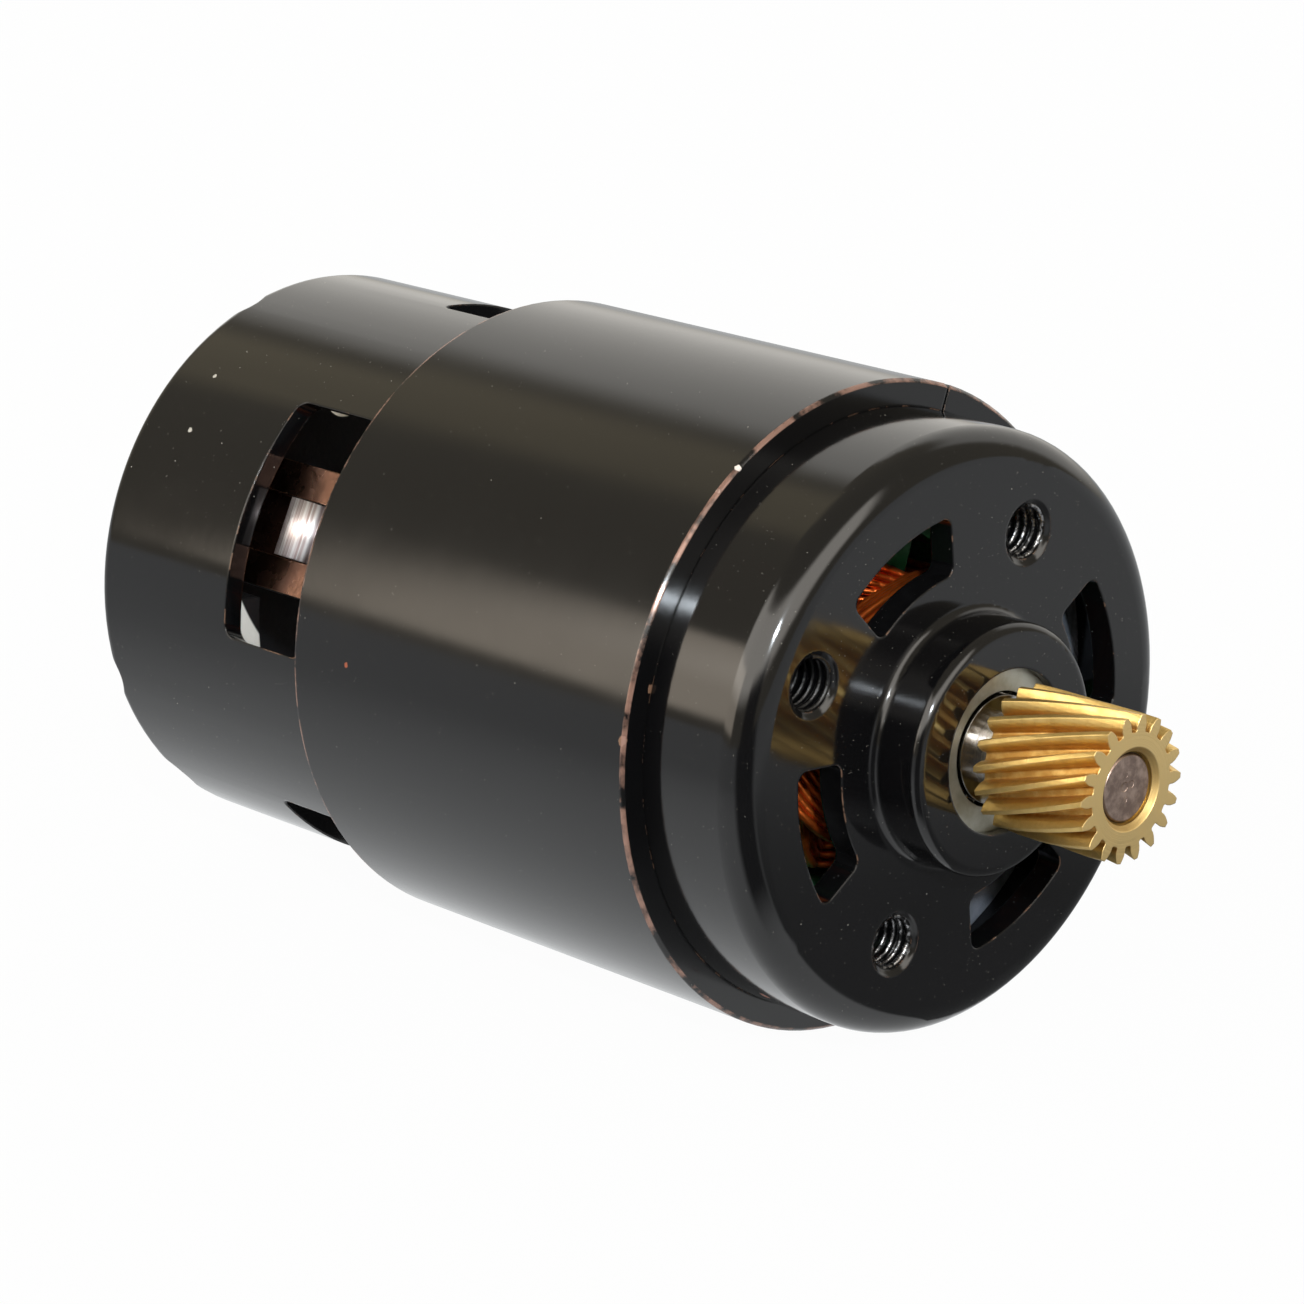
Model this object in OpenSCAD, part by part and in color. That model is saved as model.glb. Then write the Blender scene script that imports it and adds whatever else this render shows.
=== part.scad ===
// Brushed DC motor with a helical pinion, built as the separate pieces it is assembled from.
// +X is the motor axis towards the pinion, +Z is up. The flat front face lies at x = 0. Millimetres.

/* [Sub-part] */
// which sub-part to draw

/* [Clocking] */
// turn of the upper close-pitch screw hole about +X, measured from +Y
hole_clock = 64.4; // [0:0.1:360]

/* [Can] */
// outside diameter of the drawn steel can
can_d = 42; // [30:0.5:60]
// thickness of the can's side wall
can_wall = 1.5; // [0.8:0.1:3]
// thickness of the flat front
face_t = 2.0; // [1:0.1:4]
// length from the front face to the rear rim
can_len = 67.0; // [50:0.5:90]
// rounding between the front face and the side
can_round = 2.2; // [0.5:0.1:4]
// rounding of the inside front corner
can_round_in = 1.0; // [0.3:0.1:2]
// rounding of the rear rim's outer edge
rim_round = 1.0; // [0.2:0.1:1.4]

/* [Front boss] */
// diameter of the pilot boss
boss_d = 17.5; // [16.5:0.1:20]
// height of the pilot boss above the face
boss_h = 4.0; // [3:0.1:8]
// rounding of the boss's front lip
boss_round = 0.7; // [0.2:0.05:0.9]
// hollow rounding where the boss meets the face
root_round = 0.6; // [0.2:0.05:1]
// diameter of the opening in the boss's front lip
boss_mouth_d = 11.4; // [8:0.1:13]
// thickness of the lip that stops the bearing
boss_lip_t = 0.7; // [0.4:0.05:1.5]

/* [Front holes] */
// hole-to-hole distance of the close-pitch pair
pitch_close = 29; // [24:0.5:32]
// hole-to-hole distance of the wide-pitch pair
pitch_wide = 32; // [26:0.5:34]
// diameter of the tapped holes halfway up their thread
tap_d = 3.7; // [2:0.1:5]
// diameter of the countersink at each tapped hole's mouth
tap_sink_d = 4.6; // [3.5:0.1:6]
// depth of the countersink
tap_sink_t = 0.25; // [0.1:0.05:1]
// outside diameter of the collars pressed in round the tapped holes
tap_collar_d = 5.2; // [4.5:0.1:8]
// depth of the tapped holes, collars included
tap_len = 3.7; // [2.5:0.1:6]

/* [Front vents] */
// inner radius of the vents
vent_r_in = 11.7; // [11.5:0.1:14]
// outer radius of the vents
vent_r_out = 15.8; // [14:0.1:18]
// half of the angle a vent covers
vent_half = 19; // [8:0.5:22]
// angle from the close-pitch holes' line to a vent's middle
vent_offset = 50; // [44:0.5:56]
// rounding of a vent's corners
vent_round = 0.8; // [0.2:0.1:1.5]

/* [Rear windows] */
// width of a rear window across the can
window_w = 17.75; // [8:0.25:22]
// length of a rear window along the can
window_len = 8.3; // [4:0.1:12]
// how far a window reaches behind the brushes' middle
window_past = 0.8; // [0:0.1:3]
// rounding of a window's corners
window_round = 0.9; // [0.3:0.1:2]

/* [Crimps] */
// angle from the close-pitch holes' line to the first crimp
crimp_turn = 43.1; // [30:0.5:60]
// angle from the close-pitch holes' line to the first wider notch
notch_turn = -18.4; // [-40:0.5:0]
// depth of a crimp notch in the rear rim
crimp_depth = 1.1; // [0.4:0.1:2]
// radius of a crimp notch
crimp_r = 2.6; // [1.5:0.1:4]
// how far a crimped tab reaches in over the end cap
crimp_tab = 1.0; // [0.4:0.1:1.8]
// width of a crimped tab
crimp_w = 3.2; // [2:0.1:5]
// thickness of a crimped tab
crimp_t = 0.7; // [0.4:0.1:1.2]
// depth of the two wider notches
notch_depth = 1.5; // [0.6:0.1:3]
// radius of the two wider notches
notch_r = 3.4; // [2:0.1:6]

/* [Flux ring] */
// thickness of the rolled steel ring
ring_t = 1.9; // [1:0.1:3]
// distance from the front face to the ring
ring_front = 9.1; // [5:0.1:15]
// gap between the ring and the rear windows
ring_space = 1.6; // [0.5:0.1:10]
// bevel at the ring's edges
ring_bevel = 0.2; // [0.05:0.05:0.5]
// angle of the ring's seam about +X, from +Y
ring_seam_at = 69; // [0:1:360]
// open gap at the seam
ring_seam_gap = 0.25; // [0.1:0.05:1]
// size of the groove that the ring's rounded ends leave along the seam
ring_seam_corner = 0.5; // [0.2:0.1:1.2]

/* [Magnets] */
// thickness of a magnet
magnet_t = 4.2; // [3:0.1:6]
// half of the angle a magnet covers
magnet_half = 70; // [50:1:80]
// rounding of a magnet's corners
magnet_round = 0.8; // [0.3:0.1:1.5]
// distance from the front face to the magnets
magnet_front = 6.5; // [4:0.5:12]
// gap between the magnets and the brush boxes
magnet_space = 0.7; // [0.3:0.1:4]
// thickness of the spring clips' sheet
clip_t = 0.6; // [0.3:0.05:1]
// how far a clip stops short of the magnets at each end
clip_short = 1.5; // [0:0.5:5]
// radial length of a clip's legs
clip_leg = 3.2; // [1:0.1:4]

/* [Shaft and pinion] */
// diameter of the shaft
shaft_d = 5; // [3:0.5:6]
// how far the shaft stands out of the front face
shaft_out = 14.4; // [10:0.1:30]
// bevel at the shaft's ends
shaft_bevel = 0.3; // [0.1:0.05:0.6]
// number of pinion teeth
pinion_teeth = 18; // [12:1:24]
// pinion module
pinion_module = 0.5; // [0.4:0.05:0.8]
// pressure angle of the teeth
pressure_angle = 20; // [14.5:0.5:25]
// turn of the teeth for each millimetre along the axis, left hand
helix_rate = 4.1; // [0:0.05:6]
// angle of a tooth's middle at the pinion's front, from +Y
tooth_clock = -2; // [-10:0.5:10]
// length of the pinion
pinion_len = 9.3; // [5:0.1:20]
// distance from the front face to the pinion's front
pinion_out = 14.8; // [10:0.1:30]
// bevel at the mouth of the pinion's bore
pinion_bevel = 0.35; // [0.2:0.05:0.8]
// hollow rounding at the roots of the teeth
tooth_root_round = 0.14; // [0.02:0.02:0.2]
// rounding of the teeth's tips
tooth_tip_round = 0.08; // [0.02:0.02:0.12]

/* [Armature] */
// gap between the armature and the magnets
air_gap = 0.7; // [0.3:0.05:1.5]
// distance from the front face to the stack of laminations
core_front = 10.8; // [8:0.1:16]
// width of a tooth's neck
tooth_w = 4.2; // [3:0.1:6]
// radial thickness of a tooth's shoe
shoe_t = 1.8; // [1:0.1:3]
// radius of the stack's hub
hub_r = 6.0; // [4.5:0.1:7]
// opening between two shoes
slot_mouth = 2.4; // [1.5:0.1:4]
// thickness of the green end insulators
end_ins_t = 0.8; // [0.4:0.1:1.5]
// how far the insulators' rim sits inside the stack's
end_ins_set = 0.4; // [0.1:0.1:1]

/* [Windings] */
// thickness of one coil's end turn
turn_t = 1.1; // [0.8:0.05:1.3]
// gap between one end turn and the next
turn_gap = 0.1; // [0.05:0.05:0.2]
// outer radius of the end turns
turn_r_out = 11.9; // [10:0.1:12.4]
// inner radius of the end turns
turn_r_in = 4.5; // [4.2:0.1:5]
// inner radius of the coil sides
side_r_in = 6.7; // [6.4:0.1:7]
// outer radius of the coil sides
side_r_out = 12.2; // [11:0.1:12.5]
// angle a coil side covers
side_angle = 16; // [10:0.5:17]
// angle from a slot's middle to the coil sides beside it
side_gap = 1; // [0.5:0.1:2]

/* [Commutator] */
// diameter the brushes run on
comm_d = 10.8; // [9:0.1:14]
// radial thickness of a bar
bar_t = 0.9; // [0.5:0.1:1.5]
// gap between two bars
bar_gap = 0.5; // [0.2:0.05:1]
// gap between the last end turn and the bars
bar_space = 0.6; // [0.3:0.1:2]
// length of the bars
bar_len = 9.8; // [7:0.1:10]
// how far the hub reaches behind the bars
hub_over = 1; // [0.5:0.1:2]
// height of the hooks that take the wires
hook_h = 1.3; // [0.8:0.1:1.6]
// width of a hook
hook_w = 2.0; // [1:0.1:3]

/* [Spacers] */
// diameter of the spacer sleeves on the shaft
sleeve_d = 7.6; // [6.5:0.1:8]

/* [Brush gear] */
// brush size along the motor
brush_l = 6.8; // [5:0.1:8]
// brush size across the motor
brush_w = 4.4; // [3:0.1:6]
// radius of the brush's outer end
brush_r_out = 14.0; // [11:0.1:15]
// sheet thickness of the brush box
box_t = 0.6; // [0.4:0.1:1]
// radius where the box starts
box_r_in = 7.3; // [7:0.1:9]
// radius of the box's outer face
box_r_out = 17.3; // [15:0.1:18]
// width of the box's outer flange across the motor
flange_w = 9.4; // [7:0.1:12]
// length of the box's outer flange along the motor
flange_l = 9.6; // [8.5:0.1:9.8]
// diameter of the rolled brush spring
roll_d = 4.0; // [3:0.1:4.5]
// diameter of the roll's hollow middle
roll_hole_d = 1.8; // [1:0.1:3]
// depth of the coned ends of the roll, both sides together
roll_groove = 0.5; // [0.2:0.1:1]
// how far the roll sits forward of the brush's middle
roll_forward = 1.0; // [0:0.1:1.2]

/* [End cap] */
// how far the cap's outer face sits inside the can's rear rim
rim_over = 1.5; // [0.8:0.1:3]
// thickness of the cap's plate
cap_t = 3.2; // [2:0.1:4]
// thickness of the pads between the plate and the brush boxes
pad_len = 6; // [3:0.1:10]
// thickness of the pad under a terminal blade
pad_wall = 1.4; // [0.6:0.1:3]
// radial thickness of the cap's skirt
skirt_t = 1.4; // [0.8:0.1:2]
// depth of the skirt
skirt_d = 4.8; // [2:0.1:6]
// diameter of the rear boss
cap_boss_d = 15; // [13:0.5:18]
// height of the rear boss
cap_boss_h = 4.4; // [2:0.1:6]
// gap between a lug and the magnets' ends
lug_space = 1.9; // [1:0.1:4]
// radial thickness of a lug
lug_t = 1.8; // [1:0.1:2.5]
// angle from a brush to the near side of its lug
lug_from = 18; // [16:1:30]
// angle that a lug covers
lug_width = 30; // [10:1:40]
// rounding of the lugs' free corner
lug_round = 4.5; // [2:0.5:6]
// radius of the air holes in the cap
cap_hole_r = 2.2; // [1:0.1:3]
// distance of the air holes from the axis
cap_hole_at = 13.2; // [12:0.1:14]
// angle between two air holes
cap_hole_step = 28; // [24:1:30]
// clearance between the shaft and the cap's end wall
cap_bore_clear = 0.4; // [0.2:0.05:1]

/* [Terminals] */
// width of a terminal blade
blade_w = 4.8; // [2.8:0.1:6.3]
// thickness of a terminal blade
blade_t = 0.5; // [0.3:0.1:0.8]
// how far a blade stands out behind the cap
blade_out = 7.5; // [5:0.5:12]
// radius of a blade's inner edge
blade_r = 10.4; // [9:0.1:12]
// diameter of the hole in a blade
blade_hole_d = 1.6; // [1:0.1:2]
// distance of the hole from the blade's tip
blade_hole_at = 3; // [2:0.1:5]
// step at each side of the blade's tip
blade_step = 0.9; // [0.5:0.1:1.5]

/* [Front bearing] */
// outside diameter of the ball bearing
brg_d = 14; // [13:0.5:16]
// width of the ball bearing
brg_w = 5; // [4:0.5:6]
// number of balls
balls = 7; // [6:1:8]
// ball diameter
ball_d = 2.4; // [2:0.1:2.6]
// radial thickness of the cage
cage_t = 1.0; // [0.5:0.1:1.4]
// width of the cage
cage_w = 2.9; // [2.7:0.1:3.6]
// outer diameter of the inner race
race_in_d = 7.5; // [7:0.1:8]
// bore of the outer race between the shields
race_out_d = 11.4; // [11:0.1:12]
// thickness of a shield
shield_t = 0.25; // [0.15:0.05:0.4]
// bore of a shield
shield_bore = 8.0; // [7.6:0.1:8.6]
// diameter where a shield clips into the outer race
shield_d = 12.3; // [12:0.1:12.6]
// how deep a shield sits behind the bearing's face
shield_set = 0.15; // [0.05:0.05:0.3]

/* [Rear bush] */
// outside diameter of the rear bush
bush_d = 10; // [8:0.5:12]
// length of the rear bush
bush_len = 6.8; // [5:0.1:8]

/* [Clearances] */
// radial running clearance of the shaft and of the balls
run_clear = 0.03; // [0.01:0.01:0.1]
// clearance of a brush in its box on each side
brush_clear = 0.06; // [0.02:0.01:0.15]
// gap between two pieces that turn past each other
end_play = 0.1; // [0.05:0.05:0.3]
// clearance around a piece slipped into a slot
slot_clear = 0.05; // [0.02:0.01:0.2]

/* [Hidden] */
$fn = 96;
can_r = can_d / 2;
can_r_in = can_r - can_wall;
wide_clock = hole_clock + 90;
brush_clock = wide_clock;
brg_front = boss_h - boss_lip_t;
brg_rear = brg_front - brg_w;
shaft_r = shaft_d / 2;
magnet_r_in = can_r_in - magnet_t;
core_r = magnet_r_in - air_gap;
slots = 5;
slot_step = 360 / slots;
comm_r = comm_d / 2;
cap_rear = can_len - rim_over;
cap_front = cap_rear - cap_t;
brush_at = cap_front - pad_len - flange_l / 2;
bar_front = brush_at - bar_len / 2;
core_rear = bar_front - bar_space - slots * (turn_t + turn_gap) - end_ins_t;
magnet_rear = brush_at - flange_l / 2 - magnet_space;
magnet_len = magnet_rear - magnet_front;
window_rear = brush_at + window_past;
window_front = window_rear - window_len;
ring_rear = window_front - ring_space;
ring_len = ring_rear - ring_front;
pitch_ball = (race_in_d + race_out_d) / 4;
far = 40;

// ---- shared tools ----

// turns a (radius, x) outline about the motor axis
module turned() {
    rotate([0, 90, 0])
        rotate_extrude($fn = 192)
            children();
}

// a plain ring between two radii, from x0 to x1
module tube(r_in, r_out, x0, x1) {
    turned()
        translate([r_in, x0])
            square([r_out - r_in, x1 - x0]);
}

// stands a (y, z) outline up along the motor axis, from x0 to x1
module along(x0, x1) {
    translate([x0, 0, 0])
        rotate([90, 0, 90])
            linear_extrude(x1 - x0)
                children();
}

// turns a piece built on the +Y side to its angle about the motor axis
module at_angle(a) {
    rotate([a, 0, 0])
        children();
}

// a round bar along +X from x0 to x1 at radius r
module bar_x(r, d, x0, x1) {
    translate([x0, r, 0])
        rotate([0, 90, 0])
            cylinder(d = d, h = x1 - x0);
}

// the waste outside a convex corner of radius r whose tip is at the origin, solid towards -x -y
module corner_waste(r) {
    difference() {
        translate([-r, -r])
            square(2 * r);
        translate([-r, -r])
            circle(r);
        translate([-3 * r, -3 * r])
            square([2 * r, 5 * r]);
        translate([-3 * r, -3 * r])
            square([5 * r, 2 * r]);
    }
}

// the fill inside a hollow corner of radius r at the origin, open towards +x +y
module corner_fill(r) {
    difference() {
        square(r);
        translate([r, r])
            circle(r);
    }
}

// a wedge of the plane within half degrees of +x
module wedge(half) {
    polygon([[0, 0], [far, -far * tan(half)], [far, far * tan(half)]]);
}

// part of a ring within half degrees of +x
module sector(r_in, r_out, half) {
    intersection() {
        difference() {
            circle(r_out);
            circle(r_in);
        }
        wedge(half);
    }
}

// the waste outside a round corner at c whose two sides lie in the directions u and v
module corner_kite(c, u, v, rc) {
    difference() {
        polygon([c, c + 2 * rc * u, c + 2 * rc * (u + v), c + 2 * rc * v]);
        translate(c)
            circle(rc);
    }
}

// part of a ring with round corners
module round_sector(r_in, r_out, half, rc) {
    a_out = half - asin(rc / (r_out - rc));
    a_in = half - asin(rc / (r_in + rc));
    u_out = [cos(a_out), sin(a_out)];
    u_in = [cos(a_in), sin(a_in)];
    side = [-sin(half), cos(half)];
    difference() {
        sector(r_in, r_out, half);
        for (s = [0, 1])
            mirror([0, s]) {
                corner_kite((r_out - rc) * u_out, u_out, side, rc);
                corner_kite((r_in + rc) * u_in, -u_in, side, rc);
            }
    }
}

// a rectangle about the origin with round corners
module round_rect(w, h, rc) {
    square([w - 2 * rc, h], center = true);
    square([w, h - 2 * rc], center = true);
    for (sx = [-1, 1])
        for (sy = [-1, 1])
            translate([sx * (w / 2 - rc), sy * (h / 2 - rc)])
                circle(rc);
}

// a block on the +Y side: x0 to x1, radius r0 to r1, width w across
module block(x0, x1, r0, r1, w) {
    translate([x0, r0, -w / 2])
        cube([x1 - x0, r1 - r0, w]);
}

// ---- can and ring ----

// outline of the can's steel, from the axis outwards
module can_outline() {
    difference() {
        union() {
            difference() {
                translate([0, -can_len])
                    square([can_r, can_len]);
                translate([can_r, 0])
                    corner_waste(can_round);
                translate([can_r, -can_len])
                    mirror([0, 1])
                        corner_waste(rim_round);
            }
            translate([boss_d / 2, 0])
                corner_fill(root_round);
            difference() {
                square([boss_d / 2, boss_h]);
                translate([boss_d / 2, boss_h])
                    corner_waste(boss_round);
            }
        }
        difference() {
            translate([-1, -can_len - 1])
                square([can_r_in + 1, can_len + 1 - face_t]);
            translate([can_r_in, -face_t])
                corner_waste(can_round_in);
        }
        translate([-1, -face_t - 1])
            square([brg_d / 2 + 1, face_t + 1 + brg_front]);
        translate([-1, 0])
            square([boss_mouth_d / 2 + 1, boss_h + 1]);
    }
}

// one tapped hole with its countersink
module tapped_hole(pitch) {
    bar_x(pitch / 2, tap_d, -tap_len - 1, 1);
    translate([-tap_sink_t, pitch / 2, 0])
        rotate([0, 90, 0])
            cylinder(d1 = tap_d, d2 = 2 * tap_sink_d - tap_d, h = 2 * tap_sink_t);
}

// one window punched straight in from the side
module window_cut() {
    mid = (window_front + window_rear) / 2;
    translate([-mid, can_r + 2, 0])
        rotate([90, 0, 0])
            linear_extrude(can_wall + 8)
                round_rect(window_rear - window_front, window_w, window_round);
}

// one notch in the rear rim: a round of radius r that bites depth into it
module rim_cut(r, depth) {
    translate([-can_len - r + depth, can_r_in - 2, 0])
        rotate([-90, 0, 0])
            cylinder(r = r, h = can_wall + 4);
}

// the metal pushed in over the cap by a crimp
module crimp_inner() {
    intersection() {
        tube(can_r_in - crimp_tab, can_r_in + can_wall / 2, -cap_rear - crimp_t, -cap_rear);
        block(-can_len, 0, can_r / 2, far, crimp_w);
    }
}

module motor_can() {
    color([0.10, 0.10, 0.11]) {
        difference() {
            union() {
                turned()
                    can_outline();
                for (a = [0, 180]) {
                    at_angle(hole_clock + a)
                        bar_x(pitch_close / 2, tap_collar_d, -tap_len, -face_t / 2);
                    at_angle(wide_clock + a)
                        bar_x(pitch_wide / 2, tap_collar_d, -tap_len, -face_t / 2);
                }
            }
            for (a = [0, 180]) {
                at_angle(hole_clock + a)
                    tapped_hole(pitch_close);
                at_angle(wide_clock + a)
                    tapped_hole(pitch_wide);
                for (s = [-1, 1])
                    at_angle(hole_clock + a + s * vent_offset)
                        along(-face_t - 1, 1)
                            round_sector(vent_r_in, vent_r_out, vent_half, vent_round);
            }
            for (k = [0:3])
                at_angle(wide_clock + 90 * k)
                    window_cut();
            for (k = [0:3])
                at_angle(hole_clock + crimp_turn + 90 * k)
                    rim_cut(crimp_r, crimp_depth);
            for (a = [0, 180])
                at_angle(hole_clock + notch_turn + a)
                    rim_cut(notch_r, notch_depth);
        }
        for (k = [0:3])
            at_angle(hole_clock + crimp_turn + 90 * k)
                crimp_inner();
    }
}

module flux_ring() {
    r_out = can_r + ring_t;
    color([0.20, 0.20, 0.21])
        difference() {
            turned()
                polygon([[can_r, -ring_rear], [r_out - ring_bevel, -ring_rear],
                    [r_out, -ring_rear + ring_bevel], [r_out, -ring_front - ring_bevel],
                    [r_out - ring_bevel, -ring_front], [can_r, -ring_front]]);
            at_angle(ring_seam_at)
                block(-ring_rear - 1, -ring_front + 1, can_r - 1, r_out + 1, ring_seam_gap);
            at_angle(ring_seam_at)
                translate([-(ring_front + ring_rear) / 2, r_out, 0])
                    rotate([45, 0, 0])
                        cube([ring_len + 2, ring_seam_corner, ring_seam_corner], center = true);
        }
}

// ---- magnets ----

module magnet() {
    color([0.27, 0.28, 0.31])
        along(-magnet_rear, -magnet_front)
            round_sector(magnet_r_in, can_r_in, magnet_half, magnet_round);
}

module magnet_a() {
    at_angle(hole_clock)
        magnet();
}

module magnet_b() {
    at_angle(hole_clock + 180)
        magnet();
}

// sheet spring that spreads the magnets apart
module magnet_clip() {
    half = 90 - magnet_half;
    leg = clip_t / can_r_in * 180 / PI;
    color([0.55, 0.57, 0.60])
        along(-magnet_rear + clip_short, -magnet_front - clip_short) {
            sector(can_r_in - clip_t, can_r_in, half);
            for (s = [-1, 1])
                rotate(s * (half - leg / 2))
                    sector(can_r_in - clip_leg, can_r_in, leg / 2);
        }
}

module magnet_clip_a() {
    at_angle(wide_clock)
        magnet_clip();
}

module magnet_clip_b() {
    at_angle(wide_clock + 180)
        magnet_clip();
}

// ---- end cap and terminals ----

// white lug beside one brush, with a rounded free corner
module cap_lug() {
    x_end = -magnet_rear - lug_space;
    difference() {
        at_angle(lug_from + lug_width / 2)
            along(-cap_front, x_end)
                sector(can_r_in - lug_t, can_r_in, lug_width / 2);
        at_angle(lug_from)
            translate([x_end, 0, 0])
                rotate([-90, 0, 0])
                    linear_extrude(far)
                        mirror([0, 1])
                            corner_waste(lug_round);
    }
}

// pad that carries one brush box
module cap_pad() {
    block(-cap_front, -brush_at - flange_l / 2, blade_r - pad_wall, can_r_in - skirt_t, flange_w);
}

module blade_slot(clear) {
    side = brush_w / 2 + brush_clear + box_t;
    translate([-cap_rear - 1, blade_r - clear, side - clear])
        cube([cap_t + 20, blade_w + 2 * clear, blade_t + 2 * clear]);
}

module end_cap() {
    color([0.90, 0.89, 0.84])
        difference() {
            union() {
                tube(bush_d / 4, can_r_in, -cap_rear, -cap_front);
                tube(can_r_in - skirt_t, can_r_in, -cap_front, -cap_front + skirt_d);
                tube(shaft_r + cap_bore_clear, cap_boss_d / 2, -cap_rear - cap_boss_h, -cap_front);
                for (a = [0, 180])
                    at_angle(brush_clock + a) {
                        cap_pad();
                        cap_lug();
                    }
            }
            tube(0, bush_d / 2, -cap_front - bush_len, -cap_front + 1);
            for (a = [0, 180]) {
                at_angle(brush_clock + a)
                    blade_slot(slot_clear);
                for (b = [-cap_hole_step, 0, cap_hole_step])
                    at_angle(hole_clock + a + b)
                        bar_x(cap_hole_at, 2 * cap_hole_r, -cap_rear - 1, -cap_front + 1);
            }
        }
}

// flat blade that runs from the brush box out through the cap
module terminal() {
    side = brush_w / 2 + brush_clear + box_t;
    tip = -cap_rear - blade_out;
    color([0.80, 0.78, 0.70])
        difference() {
            union() {
                translate([tip + blade_step, blade_r, side])
                    cube([-brush_at - tip, blade_w, blade_t]);
                translate([tip, blade_r + blade_step, side])
                    cube([2 * blade_step, blade_w - 2 * blade_step, blade_t]);
            }
            translate([tip + blade_hole_at, blade_r + blade_w / 2, side - 1])
                cylinder(d = blade_hole_d, h = blade_t + 2);
        }
}

module terminal_a() {
    at_angle(brush_clock)
        terminal();
}

module terminal_b() {
    at_angle(brush_clock + 180)
        terminal();
}

// ---- brush gear ----

module brush_box() {
    hole_w = brush_w + 2 * brush_clear;
    hole_l = brush_l + 2 * brush_clear;
    color([0.72, 0.45, 0.28])
        difference() {
            union() {
                block(-brush_at - hole_l / 2 - box_t, -brush_at + hole_l / 2 + box_t,
                    box_r_in, box_r_out, hole_w + 2 * box_t);
                block(-brush_at - flange_l / 2, -brush_at + flange_l / 2,
                    box_r_out - box_t, box_r_out, flange_w);
                block(-brush_at - flange_l / 2, -brush_at,
                    blade_r, box_r_out, hole_w + 2 * box_t);
            }
            block(-brush_at - hole_l / 2, -brush_at + hole_l / 2, 0, far, hole_w);
        }
}

module brush_box_a() {
    at_angle(brush_clock)
        brush_box();
}

module brush_box_b() {
    at_angle(brush_clock + 180)
        brush_box();
}

module brush() {
    color([0.16, 0.16, 0.17])
        difference() {
            block(-brush_at - brush_l / 2, -brush_at + brush_l / 2, comm_r / 2, brush_r_out, brush_w);
            tube(0, comm_r + run_clear, -brush_at - brush_l, -brush_at + brush_l);
        }
}

module brush_a() {
    at_angle(brush_clock)
        brush();
}

module brush_b() {
    at_angle(brush_clock + 180)
        brush();
}

// rolled strip spring that pushes the brush in
module spring_roll() {
    ring = (roll_d - roll_hole_d) / 2;
    color([0.86, 0.87, 0.89])
        translate([-brush_at + roll_forward, brush_r_out + roll_d / 2, 0])
            difference() {
                cylinder(d = roll_d, h = brush_w - 2 * brush_clear, center = true);
                cylinder(d = roll_hole_d, h = brush_w, center = true);
                for (s = [-1, 1])
                    translate([0, 0, s * brush_w / 2])
                        difference() {
                            cylinder(d = roll_d - ring * 0.7, h = roll_groove, center = true);
                            cylinder(d = roll_hole_d + ring * 0.7, h = brush_w, center = true);
                        }
            }
}

module spring_roll_a() {
    at_angle(brush_clock)
        spring_roll();
}

module spring_roll_b() {
    at_angle(brush_clock + 180)
        spring_roll();
}

// ---- shaft and pinion ----

module shaft() {
    rear = -cap_front - bush_len - 2 * end_play;
    color([0.72, 0.71, 0.70])
        turned()
            polygon([[0, rear], [shaft_r - shaft_bevel, rear], [shaft_r, rear + shaft_bevel],
                [shaft_r, shaft_out - shaft_bevel], [shaft_r - shaft_bevel, shaft_out],
                [0, shaft_out]]);
}

// angle an involute has turned, in degrees, where it reaches radius r
function involute(base, r) = sqrt(pow(r / base, 2) - 1) * 180 / PI - acos(base / r);

// one side of a tooth: half its angle at radius r
function tooth_half(base, pitch, r) =
    90 / pinion_teeth + involute(base, pitch) - involute(base, max(r, base));

module pinion() {
    pitch = pinion_module * pinion_teeth / 2;
    base = pitch * cos(pressure_angle);
    tip = pitch + pinion_module;
    root = pitch - 1.25 * pinion_module;
    flank = [root, base, pitch, (pitch + tip) / 2, tip];
    side = [for (r = flank) [r, max(tooth_half(base, pitch, r), 1)]];
    first = tooth_clock + helix_rate * pinion_len;
    outline = [for (k = [0:pinion_teeth - 1], m = [0:9])
        let (p = m < 5 ? side[m] : side[9 - m])
        let (a = first + k * 360 / pinion_teeth + (m < 5 ? -p[1] : p[1]))
        p[0] * [cos(a), sin(a)]];
    color([0.85, 0.67, 0.34])
        difference() {
            translate([pinion_out - pinion_len, 0, 0])
                rotate([90, 0, 90])
                    linear_extrude(pinion_len, twist = helix_rate * pinion_len, slices = 8)
                        offset(r = -tooth_root_round, $fn = 8)
                            offset(delta = tooth_root_round + tooth_tip_round)
                                offset(r = -tooth_tip_round, $fn = 8)
                                    polygon(outline);
            tube(0, shaft_r, 0, pinion_out + 1);
            turned()
                polygon([[0, pinion_out + 1], [0, pinion_out - pinion_bevel - shaft_r],
                    [shaft_r + pinion_bevel + 1, pinion_out + 1]]);
        }
}

// ---- armature ----

// outline of one lamination out to radius r
module lamination(r, neck) {
    difference() {
        union() {
            circle(hub_r);
            for (k = [0:slots - 1])
                rotate(k * slot_step)
                    translate([0, -neck / 2])
                        square([r - shoe_t / 2, neck]);
            difference() {
                circle(r);
                circle(core_r - shoe_t);
                for (k = [0:slots - 1])
                    rotate((k + 0.5) * slot_step)
                        translate([0, -slot_mouth / 2])
                            square([far, slot_mouth]);
            }
        }
        circle(shaft_r);
    }
}

module armature_core() {
    color([0.45, 0.45, 0.46])
        along(-core_rear, -core_front)
            lamination(core_r, tooth_w);
}

module insulator_front() {
    color([0.25, 0.52, 0.30])
        along(-core_front, -core_front + end_ins_t)
            lamination(core_r - end_ins_set, tooth_w);
}

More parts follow.
